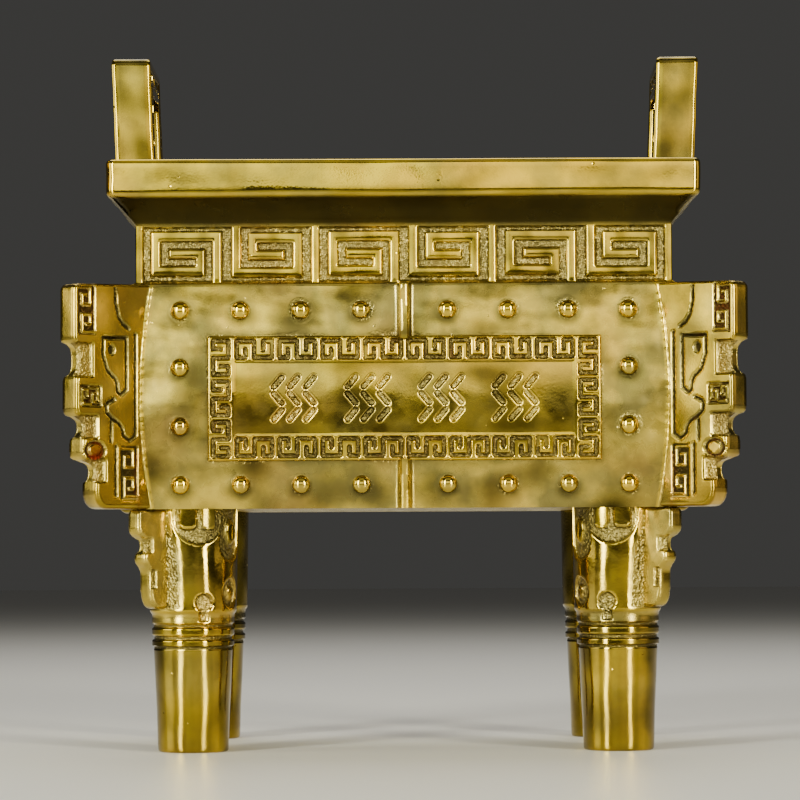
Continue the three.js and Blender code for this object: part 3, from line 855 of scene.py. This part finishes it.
def flange_outline():
    """The toothed outline of a flange, x outwards from the corner and y the height."""
    points = [(-6.0, 131.6), (-6.0, 68.5), (13.7, 68.5), (15.9, 71.5)]
    for number in (3, 2, 1, 0):
        _, high, reach = TEETH[number]
        points.append((reach, high - (0 if number else TOP_SLOPE)))
        if number:
            notch, (above, _, its_reach) = NOTCHES[number - 1][0], TEETH[number - 1]
            points += [(notch, high + 1.4), (notch, above - 1.4), (its_reach, above)]
    return points


def spiral_block(x, z, block, stacked):
    """How sunk a point is in a block holding two raised square spirals."""
    (left, right), (low, high) = block
    across, up = (left + right) / 2, (low + high) / 2
    if stacked:
        cells = ((left, right, up, high), (left, right, low, up))
    else:
        cells = ((left, across, low, high), (across, right, low, high))
    spirals = []
    for number, (a, b, c, d) in enumerate(cells):
        path = [(1 - p, 1 - q) if number else (p, q) for p, q in SPIRAL]
        spirals.append([(a + p * (b - a), d - q * (d - c)) for p, q in path])
    return within(box_distance(x, z, block), 0.2) * (1 - groove(lines_distance(x, z, spirals), 0.36, 0.18))


def flange_relief(x, z):
    """A crested head in profile with a pitted eye, rings and spirals, between the notches."""
    engraved = lines_distance(x, z, FLANGE_LINES)
    eye = np.hypot((x - 10.6) / 1.1, (z - 112.7) / 1.45) - 1
    ring = np.abs(np.hypot((x - 16.3) / 3.0, (z - 84.7) / 2.2) - 1) * 2.5
    blocks = [spiral_block(x, z, block, stacked) for block, stacked in SPIRAL_BLOCKS]
    cut = np.maximum.reduce([groove(engraved, 0.42), within(eye, 0.2), groove(ring, 0.55), *blocks])
    pockets = [((NOTCHES[i][1], 26), (TEETH[i + 1][1], TEETH[i][0])) for i in range(3)]
    pocket = 1 - smoothstep(-0.2, 0.25, boxes_distance(x, z, pockets))
    depth = np.maximum(0.8 * cut, 1.5 * pocket) + 0.05 * (1 + wander(x, z, 15, 101))
    ground = np.maximum.reduce([cut, groove(engraved, 0.55), 0.72 * pocket + 0.08])
    return depth, np.clip(ground, 0.0, 1.0)


def make_flanges(material):
    thickness = in_mm("flange")
    one = plate([rounded(flange_outline(), reach=2.0)], cell=0.37, half=thickness / 2,
                edge=0.9, relief=flange_relief, slices=6)
    local = points_of(one)
    set_points(one, local * FLANGE_STRETCH)
    x, y, z = local.T
    darkening = np.clip(0.46 + 0.3 * wander(x, y, 19, 181), 0, 0.6)
    store(one, "patina_and_shade", darkening * (np.abs(z) > 0.3 * thickness))
    stain = 1 - smoothstep(1.9, 3.2, np.hypot(x - STAIN[0], y - STAIN[1]))
    seam = 0.45 * np.exp(-np.abs(x - 1.0) / 0.7) * (y < 84)
    ends = 0.1 * (np.abs(z) < 0.42 * thickness) * (x > 14)
    for name, corner in CORNERS.items():
        flange = copied(one, corner_matrix(corner, in_mm("body_half_x"), in_mm("body_half_y")))
        stained = 1.0 if name in ("front_left", "back_right") else 0.2
        store(flange, "oxide", np.maximum.reduce([stained * stain, seam, ends]))
        finish_piece(flange, "flange_" + name, material, 60)
    bpy.data.objects.remove(one)


# ------------------------------------------------------------------ legs


# A leg's height and radius all the way up: a tapering foot, two bands, a collar, the shaft.
LEG_TURNING = (
    (0, 9.95), (29.0, 11.1), (29.3, 10.95), (29.8, 10.95), (30.1, 11.6), (31.6, 11.6),
    (31.9, 10.95), (32.7, 10.95), (33.0, 11.65), (34.9, 11.65), (35.3, 11.1), (36.1, 11.1),
    (36.5, 11.7), (38.2, 11.65), (39.0, 11.75), (39.7, 12.3), (69.5, 12.8))
LEG_HOLLOWS = (29.55, 32.3, 35.7)
LEG_FIN = ((4, 69.0), (4, 40.6), (16, 40.6), (17.5, 42.4), (18.2, 46.3), (18.2, 51.6),
           (20.2, 53.4), (20.2, 55.9), (19.2, 56.8), (19.2, 59.8), (22.4, 61.6), (22.4, 68.45))
LEG_FIN_POCKETS = (((17.4, 20), (56.4, 60.2)), ((15.9, 17.7), (46.3, 51.6)))


def leg_radius(z):
    """The radius of a leg at a height, its foot rounded off."""
    return np.interp(z, *zip(*LEG_TURNING)) - rounding(z, 0.7)


def leg_relief(angle, z):
    """How deep the mask on a leg is cut, with the angle from the flange in degrees."""
    a = np.abs(angle)

    def from_angle(centre):
        return (a - centre) * math.radians(1) * 12.4

    s = from_angle(57)
    tabs = boxes_distance(s, z, (((-4.4, -2.2), (64.2, 72.0)), ((2.0, 3.4), (64.0, 72.0)))) - 1.3
    brow = within(np.hypot(s, z - 66.0) - 7.3) * smoothstep(-0.25, 0.25, tabs)
    s = from_angle(63)
    keyhole = within(np.minimum(np.hypot(s, z - 42.2) - 2.45, box_distance(s, z, ((-1.2, 1.2), (37, 42)))))
    s = from_angle(108)
    cheek = np.minimum(np.hypot(s, z - 58.7) - 4.7, box_distance(s, z, ((-4.7, 4.7), (58.7, 70))))
    island = np.hypot(s / 2.3, (z - 62) / 3.4) - 1
    cheek = within(cheek) * smoothstep(-0.15, 0.15, island)
    leaf, seed = (np.hypot(s / wide, (z - 44.8) / tall) - 1 for wide, tall in ((3.4, 3.9), (1.5, 2.0)))
    leaf = within(leaf, 0.1) * smoothstep(-0.12, 0.12, seed)
    cut = np.maximum.reduce([brow, keyhole, cheek, leaf])
    ragged = np.interp(z, (41, 54, 66), (33, 29, 15)) + 3 * wander(z, a * 0.2, 5, 171)
    skin = (1 - smoothstep(ragged - 7, ragged + 6, a)) * smoothstep(39.5, 41, z)
    band = smoothstep(36, 36.6, z) * (1 - smoothstep(39, 39.6, z))
    hollows = sum(np.exp(-((z - level) / 0.4) ** 2) for level in LEG_HOLLOWS)
    ground = np.maximum.reduce([0.8 * cut - 0.16 * keyhole, 0.7 * skin, 0.3 * band, 0.9 * hollows])
    return 0.85 * cut + 0.04 * skin, np.clip(ground, 0, 1)


def leg_fin_relief(x, z):
    """Two pockets in the small flange of a leg."""
    pocket = within(boxes_distance(x, z, LEG_FIN_POCKETS), 0.2)
    return 0.95 * pocket + 0.05 * (1 + wander(x, z, 6, 131)), 0.35 + 0.4 * pocket


def make_legs(material):
    turns = np.linspace(-180, 180, 169)
    foot, bands, mask = (1.6, 27.2, 1.8), (27.6, 37, 0.26), (37.3, 69.2, 0.42)
    levels = np.concatenate(
        [[0.0, 0.12, 0.35, 0.7], *(even_lines(*part) for part in (foot, bands, mask))])

    def shape(angle, z):
        depth, ground = leg_relief(angle, z)
        hand = 0.06 * wander(angle * 0.2, z, 11, 121)
        radius = leg_radius(z) - depth + hand * smoothstep(0.5, 2.0, z)
        phi = np.radians(angle)
        return radius * np.cos(phi), z, radius * np.sin(phi), ground

    shaft = wrapped(turns, levels, shape, Matrix.Identity(4))
    fin = plate([rounded(LEG_FIN, reach=1.5)], cell=0.42, half=2.6, edge=0.9,
                relief=leg_fin_relief, slices=4)
    one = join([shaft, fin])
    x, y, z = points_of(one).T
    # Painted shade: darker on the foot and bands than on the mask, over random tarnish.
    darkening = 0.6 - 0.36 * smoothstep(33, 42, y) + 0.36 * wander(x + z, y * 0.7, 15, 191)
    store(one, "patina_and_shade", np.clip(darkening, 0, 0.7))
    for name, corner in CORNERS.items():
        leg = copied(one, corner_matrix(corner, in_mm("leg_x"), in_mm("leg_y")))
        finish_piece(leg, "leg_" + name, material, 50)
    bpy.data.objects.remove(one)


# ------------------------------------------------------------------ ears


# How far the inner face of an ear is from the middle, and from there to where it turns.
EAR_PLACE, EAR_PIVOT = 71.7, 5.5
# Each ear was filed and set by hand: the right one is thicker, further out and turned.
# Its quarter turns, how far further out it stands, its twist in degrees and how much thicker.
EARS = {"right": (1, 1.5, -1.2, 1.09), "left": (3, 0.4, 0.0, 1.02)}


def ear_relief(y, z):
    """A sunk band along the loop with raised hooks left standing in it."""
    sunk = [((-18.7, -14.2), (170, 197.2)), ((14.2, 18.7), (170, 197.2)), ((-18.7, 18.7), (192.6, 197.2))]
    hooks = []
    for low in (171.5, 181.0):
        hook = [(15.3, low), (17.6, low), (17.6, low + 6.6), (15.3, low + 6.6), (15.3, low + 3.4)]
        hooks += [hook, [(-py, pz) for py, pz in hook]]
    for left in (-13.0, -3.4, 6.2):
        hooks.append([(left, 194.0), (left + 6.6, 194.0), (left + 6.6, 195.9), (left + 2.6, 195.9)])
    cut = within(boxes_distance(y, z, sunk)) * (1 - groove(lines_distance(y, z, hooks), 0.5))
    return 0.7 * cut + 0.05 * (1 + wander(y, z, 14, 141)), 0.85 * cut


def make_ears(material):
    half, top, rim = in_mm("ear_width") / 2, TOTAL_HEIGHT, in_mm("rim_top")
    inner, crown, cut_off = half - in_mm("ear_post"), top - 9.4, 1.4
    outline = [(-half, rim - 1.5), (half, rim - 1.5), (half, top - cut_off), (half - cut_off, top),
               (cut_off - half, top), (-half, top - cut_off)]
    opening = [(-inner, rim - 0.4), (-inner, crown - 2), (2 - inner, crown), (inner - 2, crown),
               (inner, crown - 2), (inner, rim - 0.4)]
    half_thickness = in_mm("ear_thickness") / 2
    one = plate([rounded(outline, reach=0.9), rounded(opening, reach=0.9)], cell=0.36,
                half=half_thickness, edge=0.9, relief=ear_relief, slices=8)
    across, up, out = points_of(one).T
    rise, edge = up - rim, np.abs(out) < half_thickness * 0.9
    darkening = np.clip(0.64 + 0.42 * wander(out * 1.5, rise, 17, 161), 0, 0.8)
    store(one, "patina_and_shade", darkening * edge)
    uneven = 0.1 * (1 + wander(up, out, 16, 151))
    joint = 0.25 * np.exp(-((rise - 1.2) / 0.4) ** 2)
    across = across - np.sign(across) * edge * (uneven + joint)
    lean = 1.3 * np.clip(rise, 0, None) / (top - rim)
    set_points(one, np.column_stack([across, up, out + EAR_PLACE + half_thickness + lean]))
    middle = EAR_PLACE + EAR_PIVOT
    for name, (turn, outward, twist, thicker) in EARS.items():
        pivot = Matrix.Translation((0, 0, middle + outward)) @ Matrix.Rotation(math.radians(twist), 4, "Y")
        pivot = pivot @ Matrix.Diagonal((1, 1, thicker, 1)) @ Matrix.Translation((0, 0, -middle))
        finish_piece(copied(one, wall_matrix(turn, 0) @ pivot), "ear_" + name, material, 62)
    bpy.data.objects.remove(one)


# ------------------------------------------------------------------ finishes


def add_node(tree, kind, settings, inputs):
    """Adds a node with its settings, and links or sets its inputs by name or number."""
    node = tree.nodes.new(kind)
    for key, value in settings.items():
        setattr(node, key, value)
    for key, value in inputs.items():
        if isinstance(value, bpy.types.NodeSocket):
            tree.links.new(value, node.inputs[key])
        else:
            node.inputs[key].default_value = value
    return node


ROUGHNESS = {"polished": 0.085, "satin": 0.2}
RELIEF = 0.22  # The height in millimetres that 1 stands for in the surface's fine relief.


def cast_brass(finish):
    """Cast brass, hand polished.

    A yellow metal, mirror-like but uneven on the high faces where the wheel reached, satin
    on the walls, and dull and sandy in the sunk grounds where the mould's skin is left.
    """
    chosen = colours()
    material = bpy.data.materials.new("cast_brass_" + finish)
    material.use_nodes = True
    tree = material.node_tree
    shader = tree.nodes["Principled BSDF"]
    shader.inputs["Metallic"].default_value = 1.0
    place = add_node(tree, "ShaderNodeTexCoord", {}, {}).outputs["Object"]
    value = {}
    # What each point is: how far from polished, how darkened, and how much residue it holds.
    for key in ("ground", "patina_and_shade", "oxide"):
        value[key] = add_node(tree, "ShaderNodeAttribute", {"attribute_name": key}, {}).outputs["Fac"]
    # Patterns by their real size in millimetres: the reach of a hand, of a cloth, of a
    # file, and sand grains of about half a millimetre, a little coarse so that they show.
    patterns = {"tone": (26.0, 2.0), "patches": (15.0, 4.0), "cloud": (5.0, 3.0),
                "swell": (13.0, 0.0), "ripple": (4.5, 1.0), "grain": (0.6, 0.0)}
    for key, (pitch, detail) in patterns.items():
        value[key] = add_node(tree, "ShaderNodeTexNoise", {}, {
            "Vector": place, "Scale": 1.0 / (pitch * MM), "Detail": detail}).outputs["Fac"]
    # Gas pores wide apart, and the close pocks where sand broke away, by their spacing.
    for key, pitch in {"pore": 7.0, "pock": 1.15}.items():
        value[key] = add_node(tree, "ShaderNodeTexVoronoi", {}, {
            "Vector": place, "Scale": 1.0 / (pitch * MM)}).outputs["Distance"]
    # Each range takes a value from one span to another, held at its ends.
    ranges = (
        ("soft", "ground", 0.05, 0.5, 0.0, 1.0),
        ("handled_most", "ground", 0.05, 0.4, 0.55, 1.0),
        ("deep", "ground", 0.5, 0.95, 0.0, 1.0),
        # The deepest grooves and corners darkened, partly dirt and partly painted shade.
        ("deepest", "ground", 0.8, 0.98, 0.0, 0.95),
        ("clouded", "patches", 0.42, 0.6, 0.0, 0.9),
        ("dusky", "cloud", 0.45, 0.65, 0.0, 0.35),
        ("redder", "tone", 0.5, 0.7, 0.0, 0.3),
        ("grain_light", "grain", 0.46, 0.62, 0.0, 0.5),
        ("spotted", "cloud", 0.58, 0.7, 0.0, 0.8),
        ("crusted", "cloud", 0.35, 0.6, 0.35, 1.0),
        ("rough", "ground", 0.0, 0.45, ROUGHNESS[finish], 0.25),
        ("handled", "cloud", 0.35, 0.7, -0.03, 0.08),
        ("sand_height", "ground", 0.45, 0.75, 0.03, 1.7),
        ("rub_height", "ground", 0.1, 0.4, 0.02, 0.3),
        ("pit", "pore", 0.0, 0.06, -0.5, 0.0),
        ("pocked", "ground", 0.5, 0.66, 0.0, 1.0),
        ("not_sanded", "ground", 0.72, 0.8, 1.0, 0.2),
        ("pock_low", "pock", 0.1, 0.45, -1.3, 0.0),
        ("pock_dark", "pock", 0.1, 0.35, 0.35, 0.0),
    )
    for key, source, low, high, start, end in ranges:
        value[key] = add_node(tree, "ShaderNodeMapRange", {}, {
            "Value": value[source], "From Min": low, "From Max": high,
            "To Min": start, "To Max": end}).outputs[0]
    sums = (
        ("olive", "MULTIPLY", "handled_most", "clouded"),
        ("duller", "MULTIPLY", "handled_most", "dusky"),
        # Lighter grains in the sandy skin: painted glints.
        ("painted_grain_glints", "MULTIPLY", "deep", "grain_light"),
        ("spots", "MULTIPLY", "deepest", "spotted"),
        ("residue", "MULTIPLY", "oxide", "crusted"),
        ("dull_more", "MULTIPLY", "deep", 0.22),
        ("dark_more", "MULTIPLY", "patina_and_shade", 0.05),
        ("rough", "ADD", "rough", "dull_more"),
        ("rough", "ADD", "rough", "dark_more"),
        ("rough", "ADD", "rough", "handled"),
        ("sand", "MULTIPLY", "grain", "sand_height"),
        ("rubbed", "MULTIPLY", "ripple", "rub_height"),
        ("height", "ADD", "sand", "rubbed"),
        ("swell", "MULTIPLY", "swell", 1.6),
        ("height", "ADD", "height", "swell"),
        ("height", "ADD", "height", "pit"),
        ("pocked", "MULTIPLY", "pocked", "not_sanded"),
        ("pock_low", "MULTIPLY", "pock_low", "pocked"),
        ("pock_dark", "MULTIPLY", "pock_dark", "pocked"),
        ("height", "ADD", "height", "pock_low"),
    )
    for key, operation, first, second in sums:
        value[key] = add_node(tree, "ShaderNodeMath", {"operation": operation}, {
            0: value[first], 1: value.get(second, second)}).outputs[0]
    # The metal in layers, from the bare polish to what has gathered on it: satin where it
    # was only rubbed, olive clouds from handling, a redder cast, the sandy skin with painted
    # glints on its grains, the deepest grooves and corners darkened by dirt and painted shade,
    # the brown patina in patches of wear, in one layer with the painted shade under the rim,
    # low on the walls and legs and below the bosses, and a red residue.
    layers = (
        ("soft", tuple(chosen.satin)),
        ("olive", linear("#857C48")),
        ("duller", linear("#6A5E38")),
        ("redder", linear("#C08A34")),
        ("deep", tuple(chosen.sunk)),
        ("painted_grain_glints", linear("#A38F4A")),
        ("pock_dark", linear("#3A2F17")),
        ("deepest", linear("#2E2512")),
        ("spots", tuple(chosen.oxide)),
        ("patina_and_shade", linear("#2C250E")),
        ("residue", linear("#7A2A12")),
    )
    metal = (*chosen.polished, 1.0)
    for key, tint in layers:
        metal = add_node(tree, "ShaderNodeMix", {"data_type": "RGBA"}, {
            0: value[key], 6: metal, 7: (*tint, 1.0)}).outputs[2]
    bump = add_node(tree, "ShaderNodeBump", {}, {
        "Height": value["height"], "Strength": 1.0, "Distance": RELIEF * MM})
    tree.links.new(metal, shader.inputs["Base Color"])
    tree.links.new(value["rough"], shader.inputs["Roughness"])
    tree.links.new(bump.outputs["Normal"], shader.inputs["Normal"])
    return material


def brass(finish):
    """Cast brass in one finish, made once and shared by its pieces."""
    return bpy.data.materials.get("cast_brass_" + finish) or cast_brass(finish)


def lacquered_board():
    """Lacquered board, pale and even, with a soft sheen that mirrors what stands on it."""
    material = bpy.data.materials.new("lacquered_board")
    material.use_nodes = True
    shader = material.node_tree.nodes["Principled BSDF"]
    shader.inputs["Base Color"].default_value = (*colours().floor, 1.0)
    shader.inputs["Roughness"].default_value = 0.33
    return material


# ------------------------------------------------------------------ stage


MIDDLE = (0, 0, 0.1)
# Each light's place, size, watts, tint and spread in degrees. All are soft boxes that face
# the middle: a pair from the sides, two narrow upright ones that draw bright lines down the
# legs and flanges, a faint pair by the camera for the front, and two from above.
LIGHTS = {
    "left_soft": ((-1.2, -0.3, 0.41), (0.7, 0.7), 1.0, (1.0, 1.0, 0.8), 70),
    "right_soft": ((1.2, -0.3, 0.41), (0.7, 0.7), 0.28, (1.0, 0.8, 0.52), 70),
    "left_strip": ((-0.72, -0.95, 0.4), (0.2, 0.8), 3.0, (1.0, 1.0, 0.84), 60),
    "right_strip": ((0.7, -1.0, 0.4), (0.19, 0.8), 2.7, (1.0, 0.97, 0.78), 60),
    "front_left_soft": ((-0.3, -1.6, 0.47), (0.6, 0.62), 0.33, (0.97, 1.0, 0.66), 60),
    "front_right_soft": ((0.3, -1.6, 0.47), (0.6, 0.62), 0.315, (1.0, 0.93, 0.6), 60),
    "above_front": ((0, -0.75, 1.0), (1.2, 0.6), 1.1, (1.0, 0.98, 0.8), 180),
    "above": ((0, 0.5, 1.1), (1.0, 1.0), 11.0, (1.0, 0.99, 0.96), 180),
}
STUDIO = {"tint": "#B9B8B4", "strength": 0.1}
CAMERA = {"place": (-0.00126, -1.046, 0.0573), "target": (-0.00126, -0.0535, 0.0987),
          "lens": 159.75, "sensor": 36.0, "roll": 0.28, "reach": (0.01, 20.0)}


def facing(start, target):
    """The turn that points a light or camera at start towards the target."""
    return (Vector(target) - Vector(start)).to_track_quat("-Z", "Y")


def add_light(name, place, size, watts, tint, spread):
    deselect_all()
    bpy.ops.object.light_add(type="AREA", location=place)
    light = bpy.context.object
    light.name = name
    light.data.shape = "RECTANGLE"
    light.data.size, light.data.size_y = size
    light.data.energy = watts
    light.data.color = tint
    light.data.spread = math.radians(spread)
    light.visible_camera = False
    light.rotation_euler = facing(place, MIDDLE).to_euler()


def add_camera():
    deselect_all()
    place, target = CAMERA["place"], CAMERA["target"]
    bpy.ops.object.camera_add(location=place)
    camera = bpy.context.object
    camera.data.lens = CAMERA["lens"]
    camera.data.sensor_width = CAMERA["sensor"]
    camera.data.dof.use_dof = False
    camera.data.clip_start, camera.data.clip_end = CAMERA["reach"]
    toward = (Vector(target) - Vector(place)).normalized()
    roll = Matrix.Rotation(math.radians(CAMERA["roll"]), 4, toward)
    camera.rotation_euler = (roll @ facing(place, target).to_matrix().to_4x4()).to_euler()
    bpy.context.scene.camera = camera


def make_stage():
    deselect_all()
    bpy.ops.mesh.primitive_plane_add(size=8.0, location=(0, 0, 0))
    floor = bpy.context.object
    floor.name = "floor"
    floor.data.materials.append(lacquered_board())
    floor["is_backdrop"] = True
    world = bpy.context.scene.world or bpy.data.worlds.new("studio")
    bpy.context.scene.world = world
    world.use_nodes = True
    background = world.node_tree.nodes["Background"]
    background.inputs["Color"].default_value = (*linear(STUDIO["tint"]), 1.0)
    background.inputs["Strength"].default_value = STUDIO["strength"]
    for name, settings in LIGHTS.items():
        add_light(name, *settings)
    add_camera()


# ------------------------------------------------------------------ operators


class DING_OT_vessel(bpy.types.Operator):
    """Add the hollow vessel with its flared neck and rim"""

    bl_idname = "ding.vessel"
    bl_label = "Vessel and rim"

    def execute(self, context):
        make_vessel(brass("polished"))
        return {"FINISHED"}


class DING_OT_neck_fret(bpy.types.Operator):
    """Add the band of square hooks round the neck"""

    bl_idname = "ding.neck_fret"
    bl_label = "Neck fret"

    def execute(self, context):
        make_neck_fret(brass("polished"))
        return {"FINISHED"}


class DING_OT_walls(bpy.types.Operator):
    """Add the four swelling walls, with ribs, and their bosses"""

    bl_idname = "ding.walls"
    bl_label = "Walls and bosses"

    def execute(self, context):
        make_walls(brass("satin"))
        make_bosses(brass("polished"))
        return {"FINISHED"}


class DING_OT_panels(bpy.types.Operator):
    """Add the raised panels with their border of keys"""

    bl_idname = "ding.panels"
    bl_label = "Panels"

    def execute(self, context):
        make_panels(brass("polished"))
        return {"FINISHED"}


class DING_OT_flanges(bpy.types.Operator):
    """Add the toothed and engraved flanges at the corners"""

    bl_idname = "ding.flanges"
    bl_label = "Corner flanges"

    def execute(self, context):
        make_flanges(brass("polished"))
        return {"FINISHED"}


class DING_OT_legs(bpy.types.Operator):
    """Add the four legs with masks in relief and small flanges"""

    bl_idname = "ding.legs"
    bl_label = "Legs"

    def execute(self, context):
        make_legs(brass("polished"))
        return {"FINISHED"}


class DING_OT_ears(bpy.types.Operator):
    """Add the two upright ears"""

    bl_idname = "ding.ears"
    bl_label = "Ears"

    def execute(self, context):
        make_ears(brass("polished"))
        return {"FINISHED"}


class DING_OT_stage(bpy.types.Operator):
    """Add the floor, the soft lights and the camera"""

    bl_idname = "ding.stage"
    bl_label = "Stage"

    def execute(self, context):
        make_stage()
        return {"FINISHED"}


class DING_PT_panel(bpy.types.Panel):
    """Lists the pieces of the ding in the order they are made"""

    bl_idname = "DING_PT_panel"
    bl_label = "Square brass ding"
    bl_space_type = "VIEW_3D"
    bl_region_type = "UI"
    bl_category = "Ding"

    def draw(self, context):
        for step in STEPS:
            self.layout.operator(step.bl_idname)


STEPS = (DING_OT_stage, DING_OT_vessel, DING_OT_neck_fret, DING_OT_walls, DING_OT_panels,
         DING_OT_flanges, DING_OT_legs, DING_OT_ears)
CLASSES = (DingSizes, DingColours, *STEPS, DING_PT_panel)


def register():
    for cls in CLASSES:
        bpy.utils.register_class(cls)
    bpy.types.Scene.ding_sizes = bpy.props.PointerProperty(type=DingSizes)
    bpy.types.Scene.ding_colours = bpy.props.PointerProperty(type=DingColours)


def unregister():
    del bpy.types.Scene.ding_colours
    del bpy.types.Scene.ding_sizes
    for cls in reversed(CLASSES):
        bpy.utils.unregister_class(cls)


def main():
    register()
    bpy.ops.ding.stage()
    bpy.ops.ding.vessel()
    bpy.ops.ding.neck_fret()
    bpy.ops.ding.walls()
    bpy.ops.ding.panels()
    bpy.ops.ding.flanges()
    bpy.ops.ding.legs()
    bpy.ops.ding.ears()


if __name__ == "__main__":
    main()
